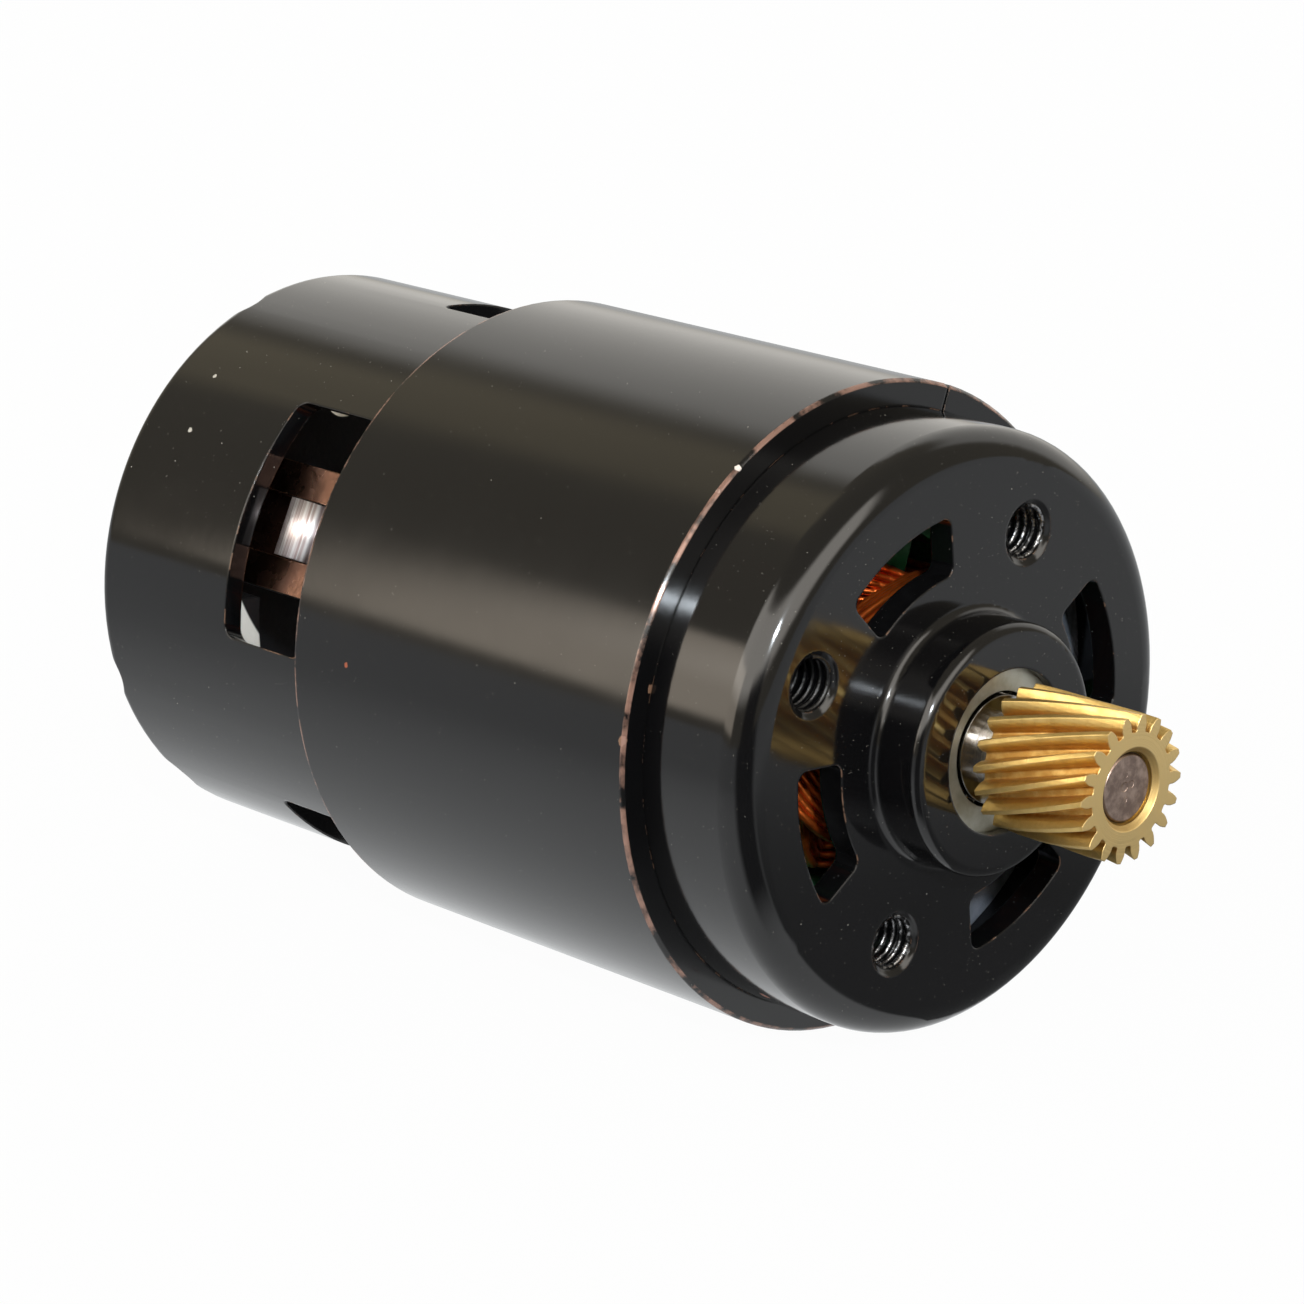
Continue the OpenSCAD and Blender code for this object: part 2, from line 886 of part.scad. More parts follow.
module insulator_rear() {
    color([0.25, 0.52, 0.30])
        along(-core_rear - end_ins_t, -core_rear)
            lamination(core_r - end_ins_set, tooth_w);
}

// middle angle of coil k's first or second side
function side_at(k, second) =
    (k + 0.5) * slot_step
    + (second ? 2 * slot_step - side_gap - side_angle / 2 : side_gap + side_angle / 2);

// outline of the two sides of coil k, grown by g
module coil_sides(k, g) {
    for (second = [false, true])
        rotate(side_at(k, second))
            sector(side_r_in - g, side_r_out + g, side_angle / 2 + g * 6);
}

// outline of coil k's end turn, notched for the sides of the coils wound after it
module end_turn(k) {
    difference() {
        rotate((k + 1.5) * slot_step)
            for (s = [-1, 1])
                rotate(s * slot_step / 2)
                    sector(turn_r_in, turn_r_out, slot_step / 2 - side_gap - 0.6);
        if (k < slots - 1)
            for (j = [k + 1:slots - 1])
                coil_sides(j, turn_gap);
    }
    rotate((k + 1.5) * slot_step)
        sector(turn_r_in, side_r_in - 2 * turn_gap, 4);
}

// one coil: two sides in their slots and an end turn at each end, in the order of winding
module coil(k) {
    front = -core_front + end_ins_t + k * (turn_t + turn_gap) + turn_gap;
    rear = -core_rear - end_ins_t - k * (turn_t + turn_gap) - turn_gap;
    color([0.76, 0.33, 0.14]) {
        along(rear - turn_t, front + turn_t)
            coil_sides(k, 0);
        along(front, front + turn_t)
            end_turn(k);
        along(rear - turn_t, rear)
            end_turn(k);
    }
}

module coil_1() {
    coil(0);
}

module coil_2() {
    coil(1);
}

module coil_3() {
    coil(2);
}

module coil_4() {
    coil(3);
}

module coil_5() {
    coil(4);
}

// ---- commutator and spacers ----

module front_sleeve() {
    color([0.30, 0.18, 0.12])
        tube(shaft_r, sleeve_d / 2, -core_front + end_ins_t, brg_rear);
}

module commutator_hub() {
    color([0.12, 0.10, 0.09]) {
        tube(shaft_r, comm_r - bar_t, -bar_front - bar_len - hub_over, -bar_front + bar_space / 2);
        tube(shaft_r, sleeve_d / 2, -bar_front, -core_rear - end_ins_t);
    }
}

module commutator_bars() {
    color([0.78, 0.47, 0.28])
        for (k = [0:slots - 1])
            at_angle((k + 0.5) * slot_step)
                union() {
                    difference() {
                        along(-bar_front - bar_len, -bar_front)
                            sector(comm_r - bar_t, comm_r, slot_step / 2 - 0.5);
                        for (s = [-1, 1])
                            at_angle(s * slot_step / 2)
                                block(-bar_front - bar_len - 1, -bar_front + 1, 0, comm_r + 1, bar_gap);
                    }
                    block(-bar_front - bar_t, -bar_front, comm_r - bar_t / 2, comm_r + hook_h, hook_w);
                }
}

module rear_sleeve() {
    color([0.30, 0.18, 0.12])
        tube(shaft_r, sleeve_d / 2, -cap_front + end_play, -bar_front - bar_len - hub_over);
}

// ---- front bearing and rear bush ----

brg_mid = (brg_front + brg_rear) / 2;
shield_in = shield_set + shield_t;

module bearing_outer_race() {
    color([0.75, 0.76, 0.78])
        turned()
            difference() {
                translate([race_out_d / 2, brg_rear])
                    square([(brg_d - race_out_d) / 2, brg_w]);
                translate([pitch_ball, brg_mid])
                    circle(ball_d / 2 + run_clear);
                translate([0, brg_front - shield_in])
                    square([shield_d / 2, 1]);
                translate([0, brg_rear + shield_in - 1])
                    square([shield_d / 2, 1]);
            }
}

module bearing_inner_race() {
    color([0.80, 0.81, 0.83])
        turned()
            difference() {
                translate([shaft_r, brg_rear])
                    square([race_in_d / 2 - shaft_r, brg_w]);
                translate([pitch_ball, brg_mid])
                    circle(ball_d / 2 + run_clear);
            }
}

module bearing_balls() {
    color([0.85, 0.86, 0.88])
        for (k = [0:balls - 1])
            at_angle(k * 360 / balls)
                translate([brg_mid, pitch_ball, 0])
                    sphere(d = ball_d);
}

module bearing_cage() {
    color([0.70, 0.60, 0.40])
        difference() {
            tube(pitch_ball - cage_t / 2, pitch_ball + cage_t / 2,
                brg_mid - cage_w / 2, brg_mid + cage_w / 2);
            for (k = [0:balls - 1])
                at_angle(k * 360 / balls)
                    translate([brg_mid, 0, 0])
                        rotate([-90, 0, 0])
                            cylinder(d = ball_d + 2 * run_clear, h = brg_d / 2);
        }
}

module bearing_shield_front() {
    color([0.84, 0.82, 0.76])
        tube(shield_bore / 2, shield_d / 2, brg_front - shield_in, brg_front - shield_set);
}

module bearing_shield_rear() {
    color([0.84, 0.82, 0.76])
        tube(shield_bore / 2, shield_d / 2, brg_rear + shield_set, brg_rear + shield_in);
}

module rear_bush() {
    color([0.66, 0.50, 0.32])
        tube(shaft_r + run_clear, bush_d / 2, -cap_front - bush_len, -cap_front);
}

// ---- drawing ----

motor_can();
flux_ring();
magnet_a();
magnet_b();
magnet_clip_a();
magnet_clip_b();
end_cap();
terminal_a();
terminal_b();
brush_box_a();
brush_box_b();
brush_a();
brush_b();
spring_roll_a();
spring_roll_b();
shaft();
pinion();
armature_core();
insulator_front();
insulator_rear();
coil_1();
coil_2();
coil_3();
coil_4();
coil_5();
front_sleeve();
commutator_hub();
commutator_bars();
rear_sleeve();
bearing_outer_race();
bearing_inner_race();
bearing_balls();
bearing_cage();
bearing_shield_front();
bearing_shield_rear();
rear_bush();
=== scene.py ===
import math

import bpy
from mathutils import Matrix, Vector
from mathutils.bvhtree import BVHTree


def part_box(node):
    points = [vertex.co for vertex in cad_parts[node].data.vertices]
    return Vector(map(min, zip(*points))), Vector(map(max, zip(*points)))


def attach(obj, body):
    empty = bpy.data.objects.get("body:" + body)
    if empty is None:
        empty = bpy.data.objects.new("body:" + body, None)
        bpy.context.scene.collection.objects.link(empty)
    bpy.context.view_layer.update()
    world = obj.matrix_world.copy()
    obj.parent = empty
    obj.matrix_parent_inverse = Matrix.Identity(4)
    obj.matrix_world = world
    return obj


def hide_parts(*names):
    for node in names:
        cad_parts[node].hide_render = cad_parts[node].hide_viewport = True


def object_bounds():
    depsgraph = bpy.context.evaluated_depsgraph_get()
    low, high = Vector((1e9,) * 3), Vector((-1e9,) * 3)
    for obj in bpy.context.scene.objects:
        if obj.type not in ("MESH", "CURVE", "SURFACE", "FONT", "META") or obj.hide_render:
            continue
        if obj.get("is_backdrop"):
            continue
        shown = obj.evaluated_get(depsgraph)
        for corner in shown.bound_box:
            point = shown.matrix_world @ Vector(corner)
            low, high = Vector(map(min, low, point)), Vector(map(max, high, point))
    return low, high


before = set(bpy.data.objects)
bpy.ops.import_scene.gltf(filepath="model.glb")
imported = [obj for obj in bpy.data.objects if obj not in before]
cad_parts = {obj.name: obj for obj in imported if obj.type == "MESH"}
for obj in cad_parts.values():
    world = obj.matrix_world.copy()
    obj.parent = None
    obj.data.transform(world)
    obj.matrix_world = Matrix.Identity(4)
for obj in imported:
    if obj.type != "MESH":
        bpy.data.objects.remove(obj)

low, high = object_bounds()
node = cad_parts
scene = bpy.context.scene
MM = 0.001

# ---------------------------------------------------------------- camera
# The motor lies level on its ring, seen from in front of the pinion end, to its right and a little
# above. The long lens was fitted to the front holes, the ring's edges and the rear rim.

camera_turn = math.radians(45.786)
camera_lift = math.radians(17.241)
camera_place = Vector((193.471, -217.242, 96.113)) * MM
camera_lens = 125.7
camera_sensor = 36.0
camera_shift = (0.0, 0.0)

towards_camera = Vector((math.sin(camera_turn) * math.cos(camera_lift),
                         -math.cos(camera_turn) * math.cos(camera_lift),
                         math.sin(camera_lift)))
camera_right = Vector((math.cos(camera_turn), math.sin(camera_turn), 0.0))
camera_up = towards_camera.cross(camera_right)

camera_data = bpy.data.cameras.new("camera")
camera_data.lens = camera_lens
camera_data.sensor_width = camera_sensor
camera_data.sensor_fit = "AUTO"
camera_data.shift_x, camera_data.shift_y = camera_shift
camera_data.clip_start = 0.01
camera_data.clip_end = 20.0
camera = bpy.data.objects.new("camera", camera_data)
scene.collection.objects.link(camera)
camera.matrix_world = Matrix.Translation(camera_place) @ Matrix(
    (camera_right, camera_up, towards_camera)).transposed().to_4x4()
scene.camera = camera

# ---------------------------------------------------------------- image points
# Where the photograph shows the motor's outermost edges and the middles of some features. A ray
# through such a point finds the surface that carries a piece, or the place on it nearest the ray.

photo_size = (1304, 1304)
photo_points = {
    "left": (103.0, None), "right": (1180.0, None), "top": (None, 273.0), "bottom": (None, 1032.0),
    "upper_hole": (1029.5, 534.0), "lower_hole": (894.0, 944.0), "left_hole": (813.0, 687.0),
    "shaft_tip": (1127.5, 788.5), "seam_front": (951.0, 385.0), "boss_lip": (None, 875.4),
    "window_corner": (303.0, 405.0), "window_low_corner": (228.0, None),
    "ring_nick": (738.0, 468.0),
}
search_start = 200.0 * MM
search_step = 0.5 * MM
search_steps = 500


def photo_ray(x, y):
    width, height = photo_size
    longest = max(width, height)
    along = Vector((x - width / 2 + camera_shift[0] * longest,
                    height / 2 - y + camera_shift[1] * longest,
                    -longest * camera_lens / camera_sensor))
    return (camera.matrix_world.to_3x3() @ along).normalized()


def surface_tree(*carriers):
    places, faces = [], []
    for carrier in carriers:
        start = len(places)
        places += [carrier.matrix_world @ v.co for v in carrier.data.vertices]
        faces += [[start + i for i in p.vertices] for p in carrier.data.polygons]
    return BVHTree.FromPolygons(places, faces)


def surface_behind(name, carrier_tree):
    """Where the ray through an image point meets a surface, or the place on it nearest the ray."""
    ray = photo_ray(*photo_points[name])
    place = carrier_tree.ray_cast(camera_place, ray)[0]
    if place is None:
        steps = [camera_place + ray * (search_start + search_step * i) for i in range(search_steps)]
        near = [carrier_tree.find_nearest(step) for step in steps]
        place = min(near, key=lambda found: found[3])[0]
    return place


# ---------------------------------------------------------------- studio
# A pale table in a soft daylit room: a wide window band behind the photographer, a second pane low
# on the left, a white wall behind the motor, a warm patch of ceiling, and the photographer's own
# dark shape in the window. The glossy enamel mirrors all of it.

scene.view_settings.view_transform = "Standard"
white = (1.0, 1.0, 1.0)
black = (0.0, 0.0, 0.0)


def new_material(name, metallic=0.0):
    """A new material; returns it with its tree and its shader."""
    material = bpy.data.materials.new(name)
    material.use_nodes = True
    shader = material.node_tree.nodes["Principled BSDF"]
    shader.inputs["Metallic"].default_value = metallic
    return material, material.node_tree, shader


def add_node(tree, kind, values=None, **settings):
    """A new node; each of its values, by socket, is a number to set or an output to link."""
    made = tree.nodes.new(kind)
    for key, value in settings.items():
        setattr(made, key, value)
    for key, value in (values or {}).items():
        if isinstance(value, bpy.types.NodeSocket):
            tree.links.new(value, made.inputs[key])
        else:
            made.inputs[key].default_value = value
    return made


def math_node(tree, operation, *values, clamp=False):
    given = {i: value for i, value in enumerate(values)}
    return add_node(tree, "ShaderNodeMath", given, operation=operation, use_clamp=clamp).outputs[0]


def degrees_of(tree, operation, *values):
    return math_node(tree, "DEGREES", math_node(tree, operation, *values))


def distance_of(tree, first, second):
    """The distance that two sides at right angles span, in millimetres."""
    squares = [math_node(tree, "POWER", side, 2.0) for side in (first, second)]
    return math_node(tree, "DIVIDE", math_node(tree, "SQRT", math_node(tree, "ADD", *squares)), MM)


def smooth_step(tree, value, start, end):
    return add_node(tree, "ShaderNodeMapRange", {0: value, 1: start, 2: end},
                    interpolation_type="SMOOTHSTEP").outputs[0]


def between(tree, share, at_none, at_full):
    """A number that goes from one value to another as a share goes from 0 to 1."""
    return math_node(tree, "MULTIPLY_ADD", share, at_full - at_none, at_none)


def mix_colour(tree, share, first, second, blend="MIX"):
    """Two colours mixed by a share; each is (red, green, blue) or another node's output."""
    first, second = [(*colour, 1.0) if isinstance(colour, tuple) else colour for colour in (first, second)]
    return add_node(tree, "ShaderNodeMix", {0: share, 6: first, 7: second},
                    data_type="RGBA", blend_type=blend).outputs[2]


def object_place(tree):
    return add_node(tree, "ShaderNodeTexCoord").outputs["Object"]


def new_group(name, inputs, outputs):
    """A shader group with named float inputs and outputs; returns its tree and both socket lists."""
    group = bpy.data.node_groups.new(name, "ShaderNodeTree")
    for socket, value in inputs.items():
        made = group.interface.new_socket(name=socket, in_out="INPUT", socket_type="NodeSocketFloat")
        made.default_value = value
    for socket in outputs:
        group.interface.new_socket(name=socket, in_out="OUTPUT", socket_type="NodeSocketFloat")
    return group, group.nodes.new("NodeGroupInput").outputs, group.nodes.new("NodeGroupOutput").inputs


def use_group(tree, group, **values):
    return add_node(tree, "ShaderNodeGroup", values, node_tree=group).outputs


window_glow, g_in, g_out = new_group(
    "window_glow", {"turn": 0.0, "lift": 0.0, "turn_middle": 0.0, "turn_half": 30.0, "lift_low": 0.0,
                    "lift_high": 30.0, "soft": 5.0, "strength": 1.0}, ["glow"])


def glow_edge(inside):
    return smooth_step(window_glow, math_node(window_glow, "DIVIDE", inside, g_in["soft"]), -0.5, 0.5)


aside = math_node(window_glow, "SUBTRACT", g_in["turn"], g_in["turn_middle"])
aside = math_node(window_glow, "ABSOLUTE", math_node(window_glow, "WRAP", aside, 180.0, -180.0))
across = glow_edge(math_node(window_glow, "SUBTRACT", g_in["turn_half"], aside))
above = glow_edge(math_node(window_glow, "SUBTRACT", g_in["lift"], g_in["lift_low"]))
below = glow_edge(math_node(window_glow, "SUBTRACT", g_in["lift_high"], g_in["lift"]))
inside_pane = math_node(window_glow, "MULTIPLY", math_node(window_glow, "MULTIPLY", across, above), below)
window_glow.links.new(math_node(window_glow, "MULTIPLY", inside_pane, g_in["strength"]), g_out[0])

# Turns are in degrees from +X, lifts in degrees over the horizon, and soft is a blurred edge's width.
front_window = {"turn_middle": -55.0, "turn_half": 78.0, "lift_low": 15.0, "lift_high": 46.0,
                "soft": 9.0, "strength": 3.3}
low_window = {"turn_middle": -118.5, "turn_half": 20.0, "lift_low": 3.0, "lift_high": 24.0,
              "soft": 3.0, "strength": 2.8}
back_wall = {"turn_middle": 114.0, "turn_half": 45.0, "lift_low": 1.0, "lift_high": 50.0,
             "soft": 12.0, "strength": 0.85}
warm_ceiling = {"turn_middle": 180.0, "turn_half": 12.0, "lift_low": 34.0, "lift_high": 60.0,
                "soft": 10.0, "strength": 0.35}
photographer = {"turn_middle": -48.0, "turn_half": 17.0, "lift_low": -20.0, "lift_high": 19.0,
                "soft": 8.0, "strength": 0.9}
daylight = (1.0, 0.95, 0.88)
low_light = (1.0, 0.87, 0.72)
ceiling_light = (1.0, 0.84, 0.52)
room_shade = (0.40, 0.36, 0.28)

room = bpy.data.worlds.new("room")
scene.world = room
room.use_nodes = True
tree = room.node_tree
tree.nodes.clear()
sky_at = add_node(tree, "ShaderNodeTexCoord").outputs["Generated"]
sky = add_node(tree, "ShaderNodeSeparateXYZ", {0: sky_at}).outputs
sky_turn = degrees_of(tree, "ARCTAN2", sky[1], sky[0])
sky_lift = degrees_of(tree, "ARCSINE", sky[2])


def pane_glow(pane):
    return use_group(tree, window_glow, turn=sky_turn, lift=sky_lift, **pane)[0]


room_glow = room_shade
for pane, tint in ((front_window, daylight), (low_window, low_light), (back_wall, white),
                   (warm_ceiling, ceiling_light)):
    tinted = mix_colour(tree, 1.0, pane_glow(pane), tint, "MULTIPLY")
    room_glow = mix_colour(tree, 1.0, room_glow, tinted, "ADD")
room_glow = mix_colour(tree, pane_glow(photographer), room_glow, black)
room_light = add_node(tree, "ShaderNodeBackground", {0: room_glow}).outputs[0]
room_white = add_node(tree, "ShaderNodeBackground", {0: (*white, 1.0), 1: 1.0}).outputs[0]
room_rays = add_node(tree, "ShaderNodeLightPath").outputs
room_mix = add_node(tree, "ShaderNodeMixShader", {
    0: room_rays["Is Camera Ray"], 1: room_light, 2: room_white}).outputs[0]
add_node(tree, "ShaderNodeOutputWorld", {0: room_mix})

lamp_turn = math.radians(-38.0)
lamp_lift = math.radians(29.0)
lamp_data = bpy.data.lights.new("daylight_lamp", "SUN")
lamp_data.energy = 1.7
lamp_data.angle = math.radians(3.0)
lamp_data.color = (0.85, 0.93, 1.0)
lamp = bpy.data.objects.new("daylight_lamp", lamp_data)
scene.collection.objects.link(lamp)
towards_lamp = Vector((math.cos(lamp_turn) * math.cos(lamp_lift),
                       math.sin(lamp_turn) * math.cos(lamp_lift), math.sin(lamp_lift)))
lamp.matrix_world = towards_lamp.to_track_quat("Z", "Y").to_matrix().to_4x4()

table_reach = 3.0
table_grey = (0.51, 0.535, 0.555)
table_mirror_tint = (0.97, 0.99, 1.0)
table_top = bpy.data.meshes.new("table_top")
table_corners = [(x * table_reach, y * table_reach, low[2]) for x, y in ((-1, -1), (1, -1), (1, 1), (-1, 1))]
table_top.from_pydata(table_corners, [], [(0, 1, 2, 3)])
table = bpy.data.objects.new("table_top", table_top)
scene.collection.objects.link(table)
table_paint, tree, shader = new_material("table_paint")
shader.inputs["Base Color"].default_value = (*table_grey, 1.0)
shader.inputs["Roughness"].default_value = 0.9
shader.inputs["Specular IOR Level"].default_value = 0.1
table_at = add_node(tree, "ShaderNodeSeparateXYZ", {0: object_place(tree)}).outputs
table_turn = degrees_of(tree, "ARCTAN2", table_at[1], table_at[0])
table_far = distance_of(tree, table_at[0], table_at[1])


def table_side(turn_middle, turn_half, nearest, soft):
    """A share of 1 on one side of the motor, from so many millimetres outwards."""
    return use_group(tree, window_glow, turn=table_turn, lift=table_far, turn_middle=turn_middle,
                     turn_half=turn_half, lift_low=nearest, lift_high=5000.0, soft=soft)[0]


# What the enamel mirrors of the table: bright on the window's side, dim in the motor's own shade
# behind it, and nearly black where the photographer stands.
open_light = between(tree, smooth_step(tree, table_far, 45.0, 140.0), 0.95, 0.60)
shade_light = between(tree, smooth_step(tree, table_far, 25.0, 105.0), 0.17, 0.65)
shade_side = table_side(turn_middle=45.0, turn_half=62.0, nearest=-500.0, soft=16.0)
person_side = table_side(turn_middle=-46.0, turn_half=26.0, nearest=27.0, soft=14.0)
table_light = add_node(tree, "ShaderNodeMix", {0: shade_side, 2: open_light, 3: shade_light}).outputs[0]
table_light = math_node(tree, "MULTIPLY", table_light, between(tree, person_side, 1.0, 0.08))
table_mirrored = add_node(tree, "ShaderNodeEmission", {
    0: (*table_mirror_tint, 1.0), 1: table_light}).outputs[0]
table_white = add_node(tree, "ShaderNodeEmission", {0: (*white, 1.0), 1: 1.0}).outputs[0]
table_rays = add_node(tree, "ShaderNodeLightPath").outputs
white_share = math_node(tree, "MULTIPLY", table_rays["Is Camera Ray"], 0.97)
mirror_share = math_node(tree, "MAXIMUM", table_rays["Is Glossy Ray"], table_rays["Is Transmission Ray"])
table_mix = add_node(tree, "ShaderNodeMixShader", {
    0: white_share, 1: shader.outputs[0], 2: table_white}).outputs[0]
table_mix = add_node(tree, "ShaderNodeMixShader", {
    0: mirror_share, 1: table_mix, 2: table_mirrored}).outputs[0]
tree.links.new(table_mix, tree.nodes["Material Output"].inputs[0])
table_top.materials.append(table_paint)
table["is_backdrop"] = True

# ---------------------------------------------------------------- motor can
# A deep-drawn steel can, punched with vents and windows and dipped in gloss black enamel. The
# enamel is rounded at the punched edges, dusty, finely scratched and worn brown on a few edges.

enamel_black = (0.0030, 0.0030, 0.0034)
dust_grey = (0.34, 0.33, 0.30)
chip_brown = (0.16, 0.085, 0.05)
rust_red = (0.22, 0.05, 0.02)

# Each hole's turn from +Y in degrees, and how many millimetres its middle lies off the axis.
hole_places = {"upper_hole": (64.4, 14.5), "left_hole": (154.4, 16.0),
               "lower_hole": (244.4, 14.5), "far_hole": (334.4, 16.0)}
# The face dips slightly round each hole, where it was pressed through to make the tapped collar.
dip_inner = 2.1
dip_outer = 2.4
dip_depth = 0.025
can_tree = surface_tree(node["motor_can"], node["flux_ring"])


def dress(material, *names):
    """Gives CAD nodes a material, in every slot they have."""
    for name in names:
        slots = node[name].data.materials
        if len(slots) == 0:
            slots.append(material)
        for i in range(len(slots)):
            slots[i] = material


def around(turn, radius, along):
    """A place at so many degrees from +Y and millimetres off the axis, so far along +X."""
    return Vector((along, radius * math.cos(math.radians(turn)), radius * math.sin(math.radians(turn)))) * MM


motor_place, _, m_out = new_group("motor_place", {}, ["along", "radius", "turn"])
m_at = add_node(motor_place, "ShaderNodeSeparateXYZ", {0: object_place(motor_place)}).outputs
motor_place.links.new(math_node(motor_place, "DIVIDE", m_at[0], MM), m_out["along"])
motor_place.links.new(distance_of(motor_place, m_at[1], m_at[2]), m_out["radius"])
motor_place.links.new(degrees_of(motor_place, "ARCTAN2", m_at[2], m_at[1]), m_out["turn"])


def grain_place(group, size, stretch=(1.0, 1.0, 1.0), turned=(0.0, 0.0, 0.0)):
    """Object coordinates in units of a size in millimetres, stretched and turned."""
    at = add_node(group, "ShaderNodeMapping", {
        0: object_place(group), 2: turned, 3: [1.0 / (s * MM) for s in stretch]}).outputs[0]
    share = math_node(group, "DIVIDE", 1.0, size)
    return add_node(group, "ShaderNodeVectorMath", {0: at, 3: share}, operation="SCALE").outputs[0]


# Dust: some cells of a random pattern hold a speck, and few specks are large.
dust_specks, g_in, g_out = new_group(
    "dust_specks", {"spacing": 1.5, "size": 0.1, "amount": 0.2}, ["specks"])
speck_cell = add_node(dust_specks, "ShaderNodeTexVoronoi", {0: grain_place(dust_specks, g_in["spacing"])})
speck_pick = add_node(dust_specks, "ShaderNodeSeparateColor", {0: speck_cell.outputs["Color"]}).outputs
speck_size = math_node(dust_specks, "MULTIPLY", math_node(
    dust_specks, "POWER", speck_pick[1], 3.0), g_in["size"])
speck_near = math_node(dust_specks, "LESS_THAN", speck_cell.outputs["Distance"], speck_size)
speck_some = math_node(dust_specks, "LESS_THAN", speck_pick[0], g_in["amount"])
dust_specks.links.new(math_node(dust_specks, "MULTIPLY", speck_near, speck_some), g_out[0])

# Scratches: the peaks of three noises, each drawn out along its own direction.
fine_scratches, g_in, g_out = new_group(
    "fine_scratches", {"width": 0.12, "amount": 0.3}, ["scratches"])
scratch_length = 90.0
scratch_turns = ((0.3, 0.9, 0.2), (1.2, 0.25, 1.9), (0.7, 2.2, 0.6))
scratch_sum = 0.0
for turned in scratch_turns:
    scratch_at = grain_place(fine_scratches, g_in["width"], (scratch_length, 1.0, 1.0), turned)
    scratch_noise = add_node(fine_scratches, "ShaderNodeTexNoise", {
        0: scratch_at, "Scale": 1.0, "Detail": 1.0}).outputs[0]
    scratch_floor = math_node(fine_scratches, "SUBTRACT", 0.86, math_node(
        fine_scratches, "MULTIPLY", g_in["amount"], 0.3))
    scratch = math_node(fine_scratches, "SUBTRACT", scratch_noise, scratch_floor)
    scratch = math_node(fine_scratches, "MULTIPLY", scratch, 14.0, clamp=True)
    scratch_sum = math_node(fine_scratches, "MAXIMUM", scratch, scratch_sum)
fine_scratches.links.new(scratch_sum, g_out[0])

patches, g_in, g_out = new_group(
    "patches", {"size": 4.0, "detail": 3.0, "low": 0.4, "high": 0.6}, ["patches"])
patch_noise = add_node(patches, "ShaderNodeTexNoise", {
    0: grain_place(patches, g_in["size"]), "Scale": 1.0, "Detail": g_in["detail"],
    "Roughness": 0.6}).outputs[0]
patches.links.new(smooth_step(patches, patch_noise, g_in["low"], g_in["high"]), g_out[0])


def patchy(tree, size, low, high, detail=3.0):
    """Soft patches of so many millimetres: 0 where a noise is below low, 1 where it is above high."""
    return use_group(tree, patches, size=size, detail=detail, low=low, high=high)[0]


def rounded_edges(tree, rounding):
    """The surface's normal, with its edges rounded by so many millimetres."""
    return add_node(tree, "ShaderNodeBevel", {"Radius": rounding * MM}, samples=6).outputs[0]


# Worn edges: where the normal over rounded edges leaves the face's own.
wear_reach = 0.18
edge_wear, g_in, g_out = new_group("edge_wear", {"low": 0.01, "high": 0.12}, ["edges"])
edge_face = add_node(edge_wear, "ShaderNodeNewGeometry").outputs["Normal"]
edge_same = add_node(edge_wear, "ShaderNodeVectorMath", {
    0: rounded_edges(edge_wear, wear_reach), 1: edge_face}, operation="DOT_PRODUCT").outputs["Value"]
edge_turn = math_node(edge_wear, "SUBTRACT", 1.0, edge_same)
edge_wear.links.new(smooth_step(edge_wear, edge_turn, g_in["low"], g_in["high"]), g_out[0])


def worn_edges(tree, low, high):
    """A mask of the edges: 0 where the normal leaves the face's by less than low, 1 by more than high."""
    return use_group(tree, edge_wear, low=low, high=high)[0]


def raised(tree, height, strength, depth, rounding=None):
    """A bump of so many millimetres, over edges rounded by so many millimetres."""
    values = {"Strength": strength, "Distance": depth * MM, "Height": height}
    if rounding:
        values["Normal"] = rounded_edges(tree, rounding)
    return add_node(tree, "ShaderNodeBump", values).outputs[0]


def coat(tree, shader, colour, roughness, bump=None):
    """Links a surface's colour, roughness and bump to its shader."""
    tree.links.new(colour, shader.inputs["Base Color"])
    tree.links.new(roughness, shader.inputs["Roughness"])
    if bump is not None:
        tree.links.new(bump, shader.inputs["Normal"])


def distance_from(tree, at, place):
    return add_node(tree, "ShaderNodeVectorMath", {0: at, 1: place}, operation="DISTANCE").outputs["Value"]


def spot(tree, place, reach, ragged=0.6):
    """A ragged spot of so many millimetres round a place on the surface."""
    at = object_place(tree)
    ragged_at = add_node(tree, "ShaderNodeTexNoise", {
        0: at, "Scale": 1.3 / (reach * MM), "Detail": 3.0}).outputs[0]
    away = math_node(tree, "DIVIDE", distance_from(tree, at, place), reach * MM)
    shift = math_node(tree, "MULTIPLY", math_node(tree, "SUBTRACT", ragged_at, 0.5), 2.0 * ragged)
    return smooth_step(tree, math_node(tree, "ADD", away, shift), 1.0, 0.8)


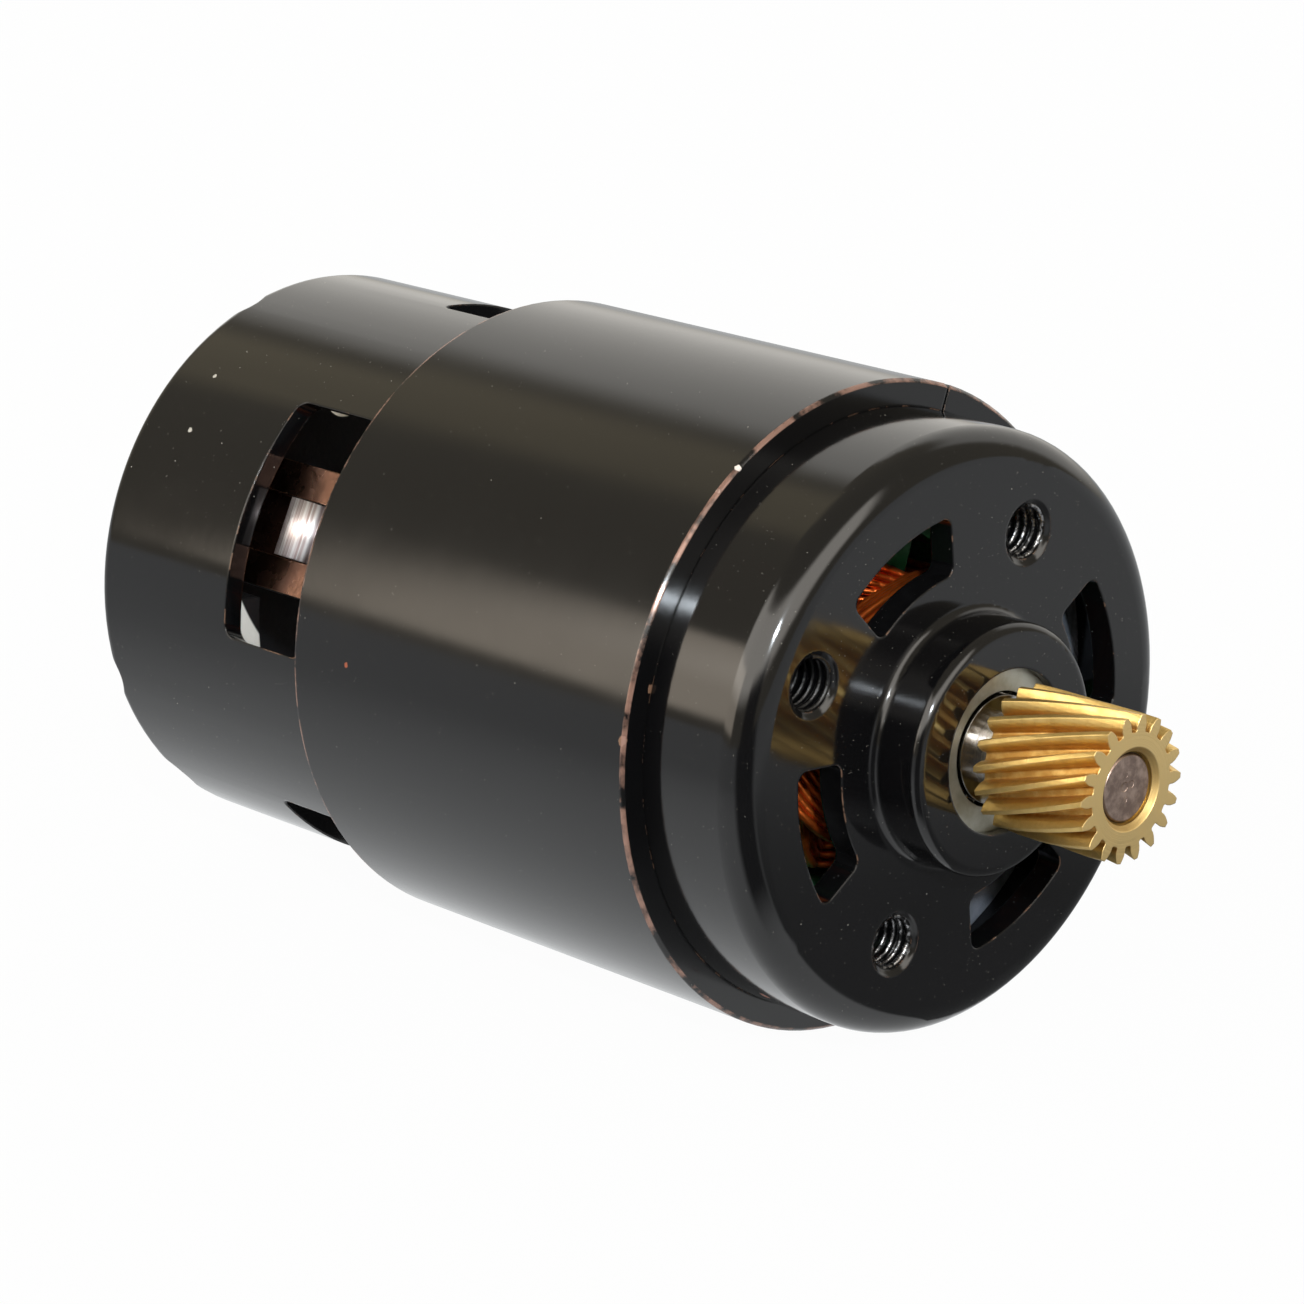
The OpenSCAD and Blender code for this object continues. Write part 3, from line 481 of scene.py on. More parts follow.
def black_enamel(name, gloss_roughness, dust, scratched, worn, wave_depth, spots):
    """Gloss black enamel on steel; returns its material, tree, shader and colour.

    Each spot is the name of an image point, a reach in millimetres and a colour.
    """
    material, tree, shader = new_material(name)
    cloud = patchy(tree, size=9.0, low=0.35, high=0.7)
    scratch = use_group(tree, fine_scratches, width=0.11, amount=scratched)[0]
    small_dust = use_group(tree, dust_specks, spacing=0.9, size=0.14, amount=dust)[0]
    large_dust = use_group(tree, dust_specks, spacing=3.2, size=0.075, amount=dust * 1.6)[0]
    specks = math_node(tree, "MAXIMUM", small_dust, large_dust)
    edges = worn_edges(tree, low=0.02, high=0.10)
    rubbed = patchy(tree, size=1.1, low=0.56 - 0.1 * worn, high=0.66 - 0.1 * worn)
    edges = math_node(tree, "MULTIPLY", edges, rubbed)
    colour = mix_colour(tree, specks, enamel_black, dust_grey)
    colour = mix_colour(tree, math_node(tree, "MULTIPLY", scratch, 0.10), colour, dust_grey)
    colour = mix_colour(tree, edges, colour, chip_brown)
    marked = math_node(tree, "MAXIMUM", specks, edges)
    for point, reach, tint in spots:
        mark = spot(tree, surface_behind(point, can_tree), reach)
        colour = mix_colour(tree, mark, colour, tint)
        marked = math_node(tree, "MAXIMUM", marked, mark)
    rough = math_node(tree, "MULTIPLY_ADD", cloud, 0.035, gloss_roughness)
    rough = math_node(tree, "MULTIPLY_ADD", scratch, 0.16, rough)
    rough = math_node(tree, "MULTIPLY_ADD", marked, 0.45, rough, clamp=True)
    peel = patchy(tree, size=1.6, low=0.2, high=0.8, detail=1.0)
    swell = patchy(tree, size=11.0, low=0.1, high=0.9, detail=0.0)
    height = math_node(tree, "MULTIPLY_ADD", peel, 0.12, swell)
    height = math_node(tree, "MULTIPLY_ADD", marked, 0.35, height)
    height = math_node(tree, "MULTIPLY_ADD", scratch, -0.06, height)
    coat(tree, shader, colour, rough, raised(tree, height, strength=1.0, depth=wave_depth, rounding=0.22))
    return material, tree, shader, colour


photo_points.update({
    "dust_high": (190.0, 430.0), "dust_low": (215.0, 376.0), "can_rust": (765.0, 996.0),
})
can_enamel, tree, shader, _ = black_enamel(
    "can_enamel", gloss_roughness=0.085, dust=0.26, scratched=0.15, worn=0.3, wave_depth=0.008,
    spots=(("dust_high", 0.22, dust_grey), ("dust_low", 0.18, dust_grey), ("can_rust", 0.4, rust_red)))
face_at = object_place(tree)
face_level = 1.0
for turn, radius in hole_places.values():
    away = distance_from(tree, face_at, around(turn, radius, 0.0))
    past_dip = smooth_step(tree, away, dip_inner * MM, dip_outer * MM)
    face_level = math_node(tree, "MULTIPLY", face_level, past_dip)
enamel_bump = shader.inputs["Normal"].links[0].from_socket
dip_bump = add_node(tree, "ShaderNodeBump", {
    "Strength": 1.0, "Distance": dip_depth * MM, "Height": face_level, "Normal": enamel_bump}).outputs[0]
tree.links.new(dip_bump, shader.inputs["Normal"])
dress(can_enamel, "motor_can")

# ---------------------------------------------------------------- tapped holes
# Four M4 holes for the gearbox screws, tapped through extruded collars after the enamel had dried,
# so the thread's crests are bright steel and its roots are still dark. The left one's threads are
# painted dark as shade.

thread_radius = 1.88
thread_pitch = 0.7
thread_depth = 3.3
thread_ridge = 0.25
thread_start = -0.32
thread_bright = (0.38, 0.38, 0.39)
thread_dark = (0.03, 0.03, 0.03)


def geometry_tree(name, inputs):
    """A geometry tree with a mesh and named inputs; returns it with its input sockets."""
    group = bpy.data.node_groups.new(name, "GeometryNodeTree")
    group.interface.new_socket(name="Geometry", in_out="INPUT", socket_type="NodeSocketGeometry")
    for socket, value in inputs.items():
        kind = {int: "NodeSocketInt", float: "NodeSocketFloat"}.get(type(value), "NodeSocketMaterial")
        made = group.interface.new_socket(name=socket, in_out="INPUT", socket_type=kind)
        if value is not None:
            made.default_value = value
    group.interface.new_socket(name="Geometry", in_out="OUTPUT", socket_type="NodeSocketGeometry")
    return group, group.nodes.new("NodeGroupInput").outputs


def close_tree(group, geometry, material, smooth=True):
    """Realizes a tree's instances, gives them their material and puts them out."""
    real = add_node(group, "GeometryNodeRealizeInstances", {0: geometry}).outputs[0]
    if smooth:
        real = add_node(group, "GeometryNodeSetShadeSmooth", {"Geometry": real}).outputs[0]
    coated = add_node(group, "GeometryNodeSetMaterial", {"Geometry": real, "Material": material}).outputs[0]
    group.links.new(coated, group.nodes.new("NodeGroupOutput").inputs[0])


def grown(name, guide, group, values):
    """Runs a geometry tree on a guide mesh and returns the plain mesh piece."""
    carrier = bpy.data.objects.new(name + "_guide", guide)
    scene.collection.objects.link(carrier)
    modifier = carrier.modifiers.new("shape", "NODES")
    modifier.node_group = group
    for socket in group.interface.items_tree:
        if socket.in_out == "INPUT" and socket.name in values:
            modifier[socket.identifier] = values[socket.name]
    depsgraph = bpy.context.evaluated_depsgraph_get()
    shape = bpy.data.meshes.new_from_object(carrier.evaluated_get(depsgraph), depsgraph=depsgraph)
    shape.name = name
    carrier.modifiers.remove(modifier)
    bpy.data.objects.remove(carrier)
    piece = bpy.data.objects.new(name, shape)
    scene.collection.objects.link(piece)
    return piece


def guide_mesh(name, places, lines=()):
    guide = bpy.data.meshes.new(name)
    guide.from_pydata(places, lines, [])
    return guide


thread_steel, tree, shader = new_material("thread_steel", metallic=1.0)
patches_and_painted_shade = patchy(tree, size=0.5, low=0.42, high=0.58)
thread_turn = use_group(tree, motor_place)["turn"]
# Painted shade: near the left hole's turn the threads are painted dark, over the random patches.
off_left_hole = math_node(tree, "ABSOLUTE", math_node(
    tree, "SUBTRACT", thread_turn, hole_places["left_hole"][0]))
left_hole_painted_shade = math_node(tree, "MULTIPLY", smooth_step(tree, off_left_hole, 14.0, 10.0), 0.93)
patches_and_painted_shade = math_node(tree, "MAXIMUM", patches_and_painted_shade, left_hole_painted_shade)
swarf = patchy(tree, size=0.15, low=0.3, high=0.7)
coat(tree, shader, mix_colour(tree, patches_and_painted_shade, thread_bright, thread_dark), between(tree, patches_and_painted_shade, 0.22, 0.37),
     raised(tree, swarf, strength=0.6, depth=0.02))

screw_thread, t_in = geometry_tree("screw_thread", {
    "Thread Radius": 0.002, "Pitch": 0.0007, "Depth": 0.003, "Ridge": 0.0002, "Steel": None})
thread_path = add_node(screw_thread, "GeometryNodeCurveSpiral", {
    "Resolution": 28, "Rotations": math_node(screw_thread, "DIVIDE", t_in["Depth"], t_in["Pitch"]),
    "Start Radius": t_in["Thread Radius"], "End Radius": t_in["Thread Radius"], "Height": t_in["Depth"],
    "Reverse": True})
thread_profile = add_node(screw_thread, "GeometryNodeCurvePrimitiveCircle", {
    "Resolution": 4, "Radius": t_in["Ridge"]})
thread_coil = add_node(screw_thread, "GeometryNodeCurveToMesh", {
    "Curve": thread_path.outputs[0], "Profile Curve": thread_profile.outputs[0], "Fill Caps": True})
thread_rows = add_node(screw_thread, "GeometryNodeInstanceOnPoints", {
    "Points": t_in["Geometry"], "Instance": thread_coil.outputs[0], "Rotation": (0.0, -math.pi / 2, 0.0)})
close_tree(screw_thread, thread_rows.outputs[0], t_in["Steel"], smooth=False)
hole_guide = guide_mesh("hole_guide", [around(*place, thread_start) for place in hole_places.values()])
threads = grown("hole_threads", hole_guide, screw_thread, {
    "Thread Radius": thread_radius * MM, "Pitch": thread_pitch * MM, "Depth": thread_depth * MM,
    "Ridge": thread_ridge * MM, "Steel": thread_steel})
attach(threads, "stator")

# ---------------------------------------------------------------- flux ring
# A strip of thick steel rolled round the can to carry the magnets' flux, its ends meeting in a seam.
# It is enamelled with the can; both its outer edges are worn to a thin brown line by handling.

ring_low, ring_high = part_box("flux_ring")
ring_front = ring_high[0] / MM
ring_back = ring_low[0] / MM
ring_radius = ring_high[2] / MM
worn_brown = (0.24, 0.14, 0.11)
nick_bright = (0.62, 0.56, 0.52)
nick_dull = (0.5, 0.4, 0.34)

photo_points.update({
    "ring_nick_low": (718.0, 491.0), "ring_rust": (346.0, 665.0), "ring_scuff": (651.0, 689.0),
    "ring_scuff_low": (622.0, 741.0),
})
ring_enamel, tree, shader, colour = black_enamel(
    "ring_enamel", gloss_roughness=0.13, dust=0.12, scratched=0.12, worn=0.5, wave_depth=0.006,
    spots=(("ring_nick", 0.24, nick_bright), ("ring_nick_low", 0.17, nick_dull),
           ("ring_rust", 0.2, rust_red), ("ring_scuff", 0.3, chip_brown),
           ("ring_scuff_low", 0.35, chip_brown)))
ring_at = use_group(tree, motor_place)
front_corner = math_node(tree, "ADD", ring_at["radius"], ring_at["along"])
front_line = smooth_step(tree, front_corner, ring_radius + ring_front - 0.30, ring_radius + ring_front - 0.22)
back_corner = math_node(tree, "SUBTRACT", ring_at["radius"], ring_at["along"])
back_line = smooth_step(tree, back_corner, ring_radius - ring_back - 0.38, ring_radius - ring_back - 0.26)
wear_places = patchy(tree, size=2.2, low=0.40, high=0.60, detail=5.0)
worn_line = math_node(tree, "MULTIPLY", math_node(tree, "MAXIMUM", front_line, back_line), wear_places)
tree.links.new(mix_colour(tree, worn_line, colour, worn_brown), shader.inputs["Base Color"])
tree.links.new(math_node(tree, "MULTIPLY", worn_line, 0.3), shader.inputs["Metallic"])
dress(ring_enamel, "flux_ring")

# ---------------------------------------------------------------- magnets and clips
# Two arc magnets of pressed and fired ferrite, dark grey and slightly porous, pushed against the
# can's wall by two bent strips of rolled spring steel.

ferrite_dark = (0.13, 0.145, 0.17)
ferrite_chalky = (0.22, 0.24, 0.28)
ferrite_chipped = (0.15, 0.15, 0.16)
clip_bright = (0.42, 0.46, 0.52)
clip_dull = (0.30, 0.32, 0.35)

ferrite, tree, shader = new_material("ferrite")
pressed = patchy(tree, size=0.25, low=0.3, high=0.7, detail=5.0)
chalky = patchy(tree, size=3.0, low=0.4, high=0.7)
ferrite_edge = worn_edges(tree, low=0.02, high=0.1)
ferrite_tone = mix_colour(tree, chalky, ferrite_dark, ferrite_chalky)
coat(tree, shader, mix_colour(tree, ferrite_edge, ferrite_tone, ferrite_chipped),
     between(tree, pressed, 0.36, 0.56), raised(tree, pressed, strength=0.5, depth=0.03, rounding=0.15))
dress(ferrite, "magnet_a", "magnet_b")

tool_marks, g_in, g_out = new_group("tool_marks", {"pitch": 0.1, "face": 0.0}, ["marks"])
mark_at = use_group(tool_marks, motor_place)
mark_along = add_node(tool_marks, "ShaderNodeMix", {
    0: g_in["face"], 2: mark_at["along"], 3: mark_at["radius"]}).outputs[0]
mark_noise = add_node(tool_marks, "ShaderNodeTexNoise", {
    "W": math_node(tool_marks, "DIVIDE", mark_along, g_in["pitch"]), "Scale": 1.0, "Detail": 2.0},
    noise_dimensions="1D")
tool_marks.links.new(mark_noise.outputs[0], g_out[0])


def marks_along(tree, pitch):
    """Fine marks round the motor's axis, so many millimetres apart along it."""
    return use_group(tree, tool_marks, pitch=pitch, face=0.0)[0]


def marks_on_face(tree, pitch):
    """Fine rings on a face square to the axis, so many millimetres apart."""
    return use_group(tree, tool_marks, pitch=pitch, face=1.0)[0]


clip_steel, tree, shader = new_material("clip_steel", metallic=1.0)
dulled = patchy(tree, size=2.5, low=0.4, high=0.65)
coat(tree, shader, mix_colour(tree, dulled, clip_bright, clip_dull), between(tree, dulled, 0.26, 0.41),
     raised(tree, marks_on_face(tree, 0.08), strength=0.25, depth=0.01, rounding=0.08))
dress(clip_steel, "magnet_clip_a", "magnet_clip_b")

# ---------------------------------------------------------------- armature stack and insulators
# Silicon-steel laminations half a millimetre thick, stacked and riveted on the shaft and varnished,
# with a sheet of green lacquered fibre at each end to keep the wires off the steel.

sheet_thickness = 0.5
sheet_dark = (0.24, 0.24, 0.25)
sheet_pale = (0.36, 0.36, 0.37)
varnish_brown = (0.16, 0.11, 0.06)
joint_dark = (0.03, 0.025, 0.02)
fibre_green = (0.045, 0.26, 0.09)
fibre_pale = (0.11, 0.38, 0.16)
fibre_dark = (0.02, 0.11, 0.04)

core_steel, tree, shader = new_material("core_steel", metallic=1.0)
core_along = use_group(tree, motor_place)["along"]
sheet_joint = smooth_step(tree, math_node(tree, "PINGPONG", core_along, sheet_thickness / 2), 0.05, 0.0)
sheet_number = math_node(tree, "FLOOR", math_node(tree, "MULTIPLY", core_along, 1.0 / sheet_thickness))
sheet_tone = add_node(tree, "ShaderNodeTexWhiteNoise", {"W": sheet_number}, noise_dimensions="1D").outputs[0]
varnish = patchy(tree, size=3.5, low=0.5, high=0.75)
core_tone = mix_colour(tree, sheet_tone, sheet_dark, sheet_pale)
core_tone = mix_colour(tree, varnish, core_tone, varnish_brown)
coat(tree, shader, mix_colour(tree, sheet_joint, core_tone, joint_dark), between(tree, varnish, 0.45, 0.30),
     raised(tree, math_node(tree, "SUBTRACT", 1.0, sheet_joint), strength=0.8, depth=0.04, rounding=0.06))
dress(core_steel, "armature_core")

green_fibre, tree, shader = new_material("green_fibre")
fibres = add_node(tree, "ShaderNodeTexNoise", {
    0: object_place(tree), "Scale": 2600.0, "Detail": 4.0}).outputs[0]
uneven = patchy(tree, size=2.0, low=0.35, high=0.7)
fibre_tone = mix_colour(tree, uneven, fibre_green, fibre_pale)
coat(tree, shader, mix_colour(tree, fibres, fibre_tone, fibre_dark), between(tree, uneven, 0.3, 0.5),
     raised(tree, fibres, strength=0.4, depth=0.02, rounding=0.1))
dress(green_fibre, "insulator_front", "insulator_rear")

# ---------------------------------------------------------------- windings
# Five coils of lacquered copper wire, wound one after another through slots two apart, so that each
# coil's end turns lie over those wound before it. The lacquer is clear and deep orange. A strip of
# the green fibre closes each slot.

wire_d = 0.58
wire_gap = 0.1
wire_bright = (0.92, 0.20, 0.03)
wire_deep = (0.60, 0.10, 0.016)
coil_slots = 5
slot_step = 360.0 / coil_slots
slot_bottom = 7.2
winding_lays = 7
winding_rows = 4
# For each coil: how many were wound before it, how near the axis its lowest lay passes over the
# stack's end, and how far apart its lays are there.
winding_order = (3, 1, 4, 0, 2)
winding_low = (6.6, 5.0, 7.0, 5.0, 5.0)
winding_spread = (0.60, 0.55, 0.50, 0.55, 0.45)
side_margin = 2.4
row_turn = 3.7
lift_at_slot = 0.2
lift_of_first = 0.8
lift_per_coil = 1.0
lift_per_row = 0.3
lift_clearance = 0.4
end_steps = 9
corner_power = 5
bend_power = 9
wedge_radius = 12.6
wedge_width = 6.4
wedge_thickness = 0.3
wedge_overhang = 2.2
board_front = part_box("insulator_front")[1][0] / MM
board_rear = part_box("insulator_rear")[0][0] / MM
coil_front_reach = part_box("coil_5")[1][0] / MM - board_front
coil_rear_reach = board_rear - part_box("coil_5")[0][0] / MM

copper_wire, tree, shader = new_material("copper_wire", metallic=0.86)
lacquer = patchy(tree, size=2.4, low=0.35, high=0.7)
drawn = add_node(tree, "ShaderNodeTexNoise", {
    0: object_place(tree), "Scale": 900.0, "Detail": 2.0}).outputs[0]
coat(tree, shader, mix_colour(tree, lacquer, wire_bright, wire_deep), between(tree, lacquer, 0.3, 0.42),
     raised(tree, drawn, strength=0.25, depth=0.03))
shader.inputs["Coat Weight"].default_value = 0.25
shader.inputs["Coat Roughness"].default_value = 0.08

wire_tree, w_in = geometry_tree("wound_wire", {
    "Wire Diameter": 0.001, "Spacing": 0.001, "Wander": 0.0001, "Seed": 3.0, "Sides": 6, "Copper": None})
wire_path = add_node(wire_tree, "GeometryNodeMeshToCurve", {0: w_in["Geometry"]}).outputs[0]
wire_path = add_node(wire_tree, "GeometryNodeResampleCurve", {
    "Curve": wire_path, "Length": w_in["Spacing"]}, mode="LENGTH").outputs[0]
wire_noise = add_node(wire_tree, "ShaderNodeTexNoise", {
    "W": w_in["Seed"], "Scale": 420.0, "Detail": 1.0}, noise_dimensions="4D").outputs["Color"]
wire_shift = add_node(wire_tree, "ShaderNodeVectorMath", {
    0: wire_noise, 1: (0.5, 0.5, 0.5)}, operation="SUBTRACT").outputs[0]
wire_shift = add_node(wire_tree, "ShaderNodeVectorMath", {
    0: wire_shift, 3: w_in["Wander"]}, operation="SCALE").outputs[0]
wire_path = add_node(wire_tree, "GeometryNodeSetPosition", {
    "Geometry": wire_path, "Offset": wire_shift}).outputs[0]
wire_profile = add_node(wire_tree, "GeometryNodeCurvePrimitiveCircle", {
    "Resolution": w_in["Sides"], "Radius": math_node(wire_tree, "MULTIPLY", w_in["Wire Diameter"], 0.5)})
wire_mesh = add_node(wire_tree, "GeometryNodeCurveToMesh", {
    "Curve": wire_path, "Profile Curve": wire_profile.outputs[0]}).outputs[0]
close_tree(wire_tree, wire_mesh, w_in["Copper"])


def end_turn(coil, lay, row, face, reach, outward):
    """One wire's way from slot to slot over the stack's end, as (turn, radius, along)."""
    middle = (coil + 1.5) * slot_step
    side = slot_step - side_margin - row * row_turn
    slot_radius = slot_bottom + lay * (wire_d + wire_gap)
    chord = winding_low[coil] + winding_spread[coil] * lay
    lift = lift_of_first + lift_per_coil * winding_order[coil] + lift_per_row * row
    lift = min(lift, reach - lift_clearance)
    way = []
    for step in range(-end_steps, end_steps + 1):
        share = math.sin(math.radians(90.0 / end_steps * step))
        across = chord / math.cos(math.radians(side * share))
        radius = (across ** -corner_power + slot_radius ** -corner_power) ** (-1 / corner_power)
        height = lift_at_slot + (lift - lift_at_slot) * (1 - abs(share) ** bend_power)
        way.append((middle + side * share, radius, face + outward * height))
    return way


wire_places, wire_lines = [], []
for coil in range(coil_slots):
    for lay in range(winding_lays):
        for row in range(winding_rows):
            over_front = end_turn(coil, lay, row, board_front, coil_front_reach, 1.0)
            over_rear = end_turn(coil, lay, row, board_rear, coil_rear_reach, -1.0)
            loop = over_front + over_rear[::-1]
            first = len(wire_places)
            wire_places += [around(*place) for place in loop]
            wire_lines += [(first + i, first + (i + 1) % len(loop)) for i in range(len(loop))]
windings = grown("windings", guide_mesh("wire_guide", wire_places, wire_lines), wire_tree, {
    "Wire Diameter": wire_d * MM, "Spacing": 1.3 * MM, "Wander": 0.35 * MM, "Seed": 3.0, "Sides": 6,
    "Copper": copper_wire})
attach(windings, "rotor")
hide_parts("coil_1", "coil_2", "coil_3", "coil_4", "coil_5")

wedge_tree, s_in = geometry_tree("slot_wedges", {
    "Length": 0.03, "Width": 0.005, "Thickness": 0.0003, "Fibre": None})
wedge_size = add_node(wedge_tree, "ShaderNodeCombineXYZ", {
    0: s_in["Length"], 1: s_in["Thickness"], 2: s_in["Width"]}).outputs[0]
wedge_strip = add_node(wedge_tree, "GeometryNodeMeshCube", {"Size": wedge_size}).outputs[0]
wedge_at = add_node(wedge_tree, "GeometryNodeInputPosition").outputs[0]
wedge_away = add_node(wedge_tree, "ShaderNodeVectorMath", {
    0: wedge_at, 1: (0.0, 1.0, 1.0)}, operation="MULTIPLY").outputs[0]
wedge_facing = add_node(wedge_tree, "FunctionNodeAlignRotationToVector", {
    "Rotation": (0.0, 0.0, 0.0), "Vector": wedge_away}, axis="Y", pivot_axis="X").outputs[0]
wedge_rows = add_node(wedge_tree, "GeometryNodeInstanceOnPoints", {
    "Points": s_in["Geometry"], "Instance": wedge_strip, "Rotation": wedge_facing}).outputs[0]
close_tree(wedge_tree, wedge_rows, s_in["Fibre"], smooth=False)
stack_middle = (board_front + board_rear) / 2
wedge_places = [around(slot_step * (slot + 0.5), wedge_radius, stack_middle) for slot in range(coil_slots)]
wedges = grown("slot_wedges", guide_mesh("wedge_guide", wedge_places), wedge_tree, {
    "Length": (board_front - board_rear + 2 * wedge_overhang) * MM, "Width": wedge_width * MM,
    "Thickness": wedge_thickness * MM, "Fibre": green_fibre})
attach(wedges, "rotor")

# ---------------------------------------------------------------- commutator and spacers
# Five copper bars moulded into a dark phenolic hub and turned true, darkened where the brushes run.
# Each bar's hook holds the ends of two coils. Dark moulded sleeves space the parts on the shaft.

bar_clean = (0.72, 0.37, 0.21)
bar_burnt = (0.16, 0.085, 0.05)
bar_rubbed = (0.34, 0.18, 0.10)
hub_dark = (0.018, 0.014, 0.012)
hub_filler = (0.05, 0.038, 0.03)
sleeve_dark = (0.05, 0.024, 0.015)
sleeve_pale = (0.10, 0.05, 0.03)
track_edge = 0.3
brush_low, brush_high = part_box("brush_a")
track_rear = brush_low[0] / MM
track_front = brush_high[0] / MM
hook_wire_d = 0.6
hook_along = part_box("commutator_bars")[1][0] / MM - 0.45

bar_copper, tree, shader = new_material("bar_copper", metallic=1.0)
bar_along = use_group(tree, motor_place)["along"]
track = math_node(tree, "MULTIPLY", smooth_step(tree, bar_along, track_rear - track_edge, track_rear),
                  smooth_step(tree, bar_along, track_front + track_edge, track_front))
turned_marks = marks_along(tree, 0.06)
burnt = mix_colour(tree, turned_marks, bar_burnt, bar_rubbed)
coat(tree, shader, mix_colour(tree, track, bar_clean, burnt), between(tree, track, 0.26, 0.38),
     raised(tree, turned_marks, strength=0.5, depth=0.02, rounding=0.08))
dress(bar_copper, "commutator_bars")

hub_phenolic, tree, shader = new_material("hub_phenolic")
filler = patchy(tree, size=0.3, low=0.4, high=0.7, detail=4.0)
coat(tree, shader, mix_colour(tree, filler, hub_dark, hub_filler), between(tree, filler, 0.35, 0.50),
     raised(tree, filler, strength=0.3, depth=0.02, rounding=0.1))
dress(hub_phenolic, "commutator_hub")

sleeve_plastic, tree, shader = new_material("sleeve_plastic")
matte = patchy(tree, size=0.6, low=0.35, high=0.7)
coat(tree, shader, mix_colour(tree, matte, sleeve_dark, sleeve_pale), between(tree, matte, 0.3, 0.5),
     raised(tree, matte, strength=0.3, depth=0.02, rounding=0.1))
dress(sleeve_plastic, "front_sleeve", "rear_sleeve")

hook_places, hook_lines = [], []
for bar in range(coil_slots):
    for side in (-1, 1):
        # From the end turns to the hook, over it and back beside the bar, as (turn, radius, along).
        way = ((6.0 * side, 8.6, board_rear - 5.4), (9.5 * side, 7.7, hook_along + 1.0),
               (7.0 * side, 6.9, hook_along), (0.0, 7.0, hook_along - 0.35 * side - 0.1),
               (-6.0 * side, 6.4, hook_along - 0.2))
        first = len(hook_places)
        hook_places += [around((bar + 0.5) * slot_step + turn, radius, along) for turn, radius, along in way]
        hook_lines += [(first + i, first + i + 1) for i in range(len(way) - 1)]
hook_wires = grown("hook_wires", guide_mesh("hook_guide", hook_places, hook_lines), wire_tree, {
    "Wire Diameter": hook_wire_d * MM, "Spacing": 0.5 * MM, "Wander": 0.0, "Seed": 3.0, "Sides": 8,
    "Copper": copper_wire})
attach(hook_wires, "rotor")

# ---------------------------------------------------------------- shaft and pinion
# A ground steel shaft, centre-drilled and gone pinkish brown at its end, with a hobbed brass helical
# pinion pressed on. The hob leaves fine marks across the teeth, and their roots are painted darker
# as shade.

shaft_ground = (0.58, 0.56, 0.54)
shaft_stained = (0.25, 0.18, 0.15)
shaft_pink = (0.48, 0.36, 0.30)
shaft_rim_painted_shade = (0.035, 0.022, 0.015)
shaft_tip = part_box("shaft")[1][0] / MM
# The dents in the shaft's end, as (turn, radius, reach).
shaft_dents = ((150.0, 0.25, 0.34), (20.0, 0.5, 0.26), (265.0, 0.75, 0.2), (95.0, 0.9, 0.16))
brass_bright = (0.76, 0.54, 0.20)
brass_dull = (0.62, 0.42, 0.14)
brass_root_shade = (0.38, 0.17, 0.025)
brass_face = (0.86, 0.63, 0.28)
brass_bore_shade = (0.50, 0.36, 0.16)
brass_edge = (0.86, 0.68, 0.34)
pinion_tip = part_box("pinion")[1][0] / MM

shaft_steel, tree, shader = new_material("shaft_steel", metallic=1.0)
shaft_at = use_group(tree, motor_place)
on_end = smooth_step(tree, shaft_at["along"], shaft_tip - 0.25, shaft_tip - 0.12)
stained = patchy(tree, size=0.9, low=0.35, high=0.7)
end_tone = mix_colour(tree, stained, shaft_stained, shaft_pink)
# Painted shade: a dark ring at the rim of the shaft's end, in the gap to the pinion's bore.
end_tone = mix_colour(tree, smooth_step(tree, shaft_at["radius"], 2.22, 2.36), end_tone, shaft_rim_painted_shade)
dents = 0.0
for turn, radius, reach in shaft_dents:
    dents = math_node(tree, "MAXIMUM", spot(tree, around(turn, radius, shaft_tip), reach, 0.3), dents)
shaft_marks = add_node(tree, "ShaderNodeMix", {
    0: on_end, 2: marks_along(tree, 0.05), 3: marks_on_face(tree, 0.09)}).outputs[0]
shaft_height = math_node(tree, "MULTIPLY_ADD", dents, -3.0, math_node(tree, "MULTIPLY", shaft_marks, 0.4))
coat(tree, shader, mix_colour(tree, on_end, shaft_ground, end_tone), between(tree, on_end, 0.2, 0.36),
     raised(tree, shaft_height, strength=0.7, depth=0.03, rounding=0.1))
dress(shaft_steel, "shaft")

pinion_brass, tree, shader = new_material("pinion_brass", metallic=1.0)
pinion_at = use_group(tree, motor_place)
front_face = smooth_step(tree, pinion_at["along"], pinion_tip - 0.08, pinion_tip)
near_front = smooth_step(tree, pinion_at["along"], pinion_tip - 0.45, pinion_tip - 0.3)
tooth_root = math_node(tree, "MULTIPLY", smooth_step(tree, pinion_at["radius"], 4.55, 3.95),
                       smooth_step(tree, pinion_at["radius"], 3.4, 3.7))
tooth_root = math_node(tree, "MULTIPLY", tooth_root, math_node(tree, "SUBTRACT", 1.0, front_face))
# Painted shade: the bore's chamfer is darkened, so that it shows no bright ring.
bore_painted_shade = math_node(tree, "MULTIPLY", smooth_step(tree, pinion_at["radius"], 3.5, 3.3),
                      math_node(tree, "SUBTRACT", near_front, front_face))
dulled = patchy(tree, size=1.6, low=0.35, high=0.7)
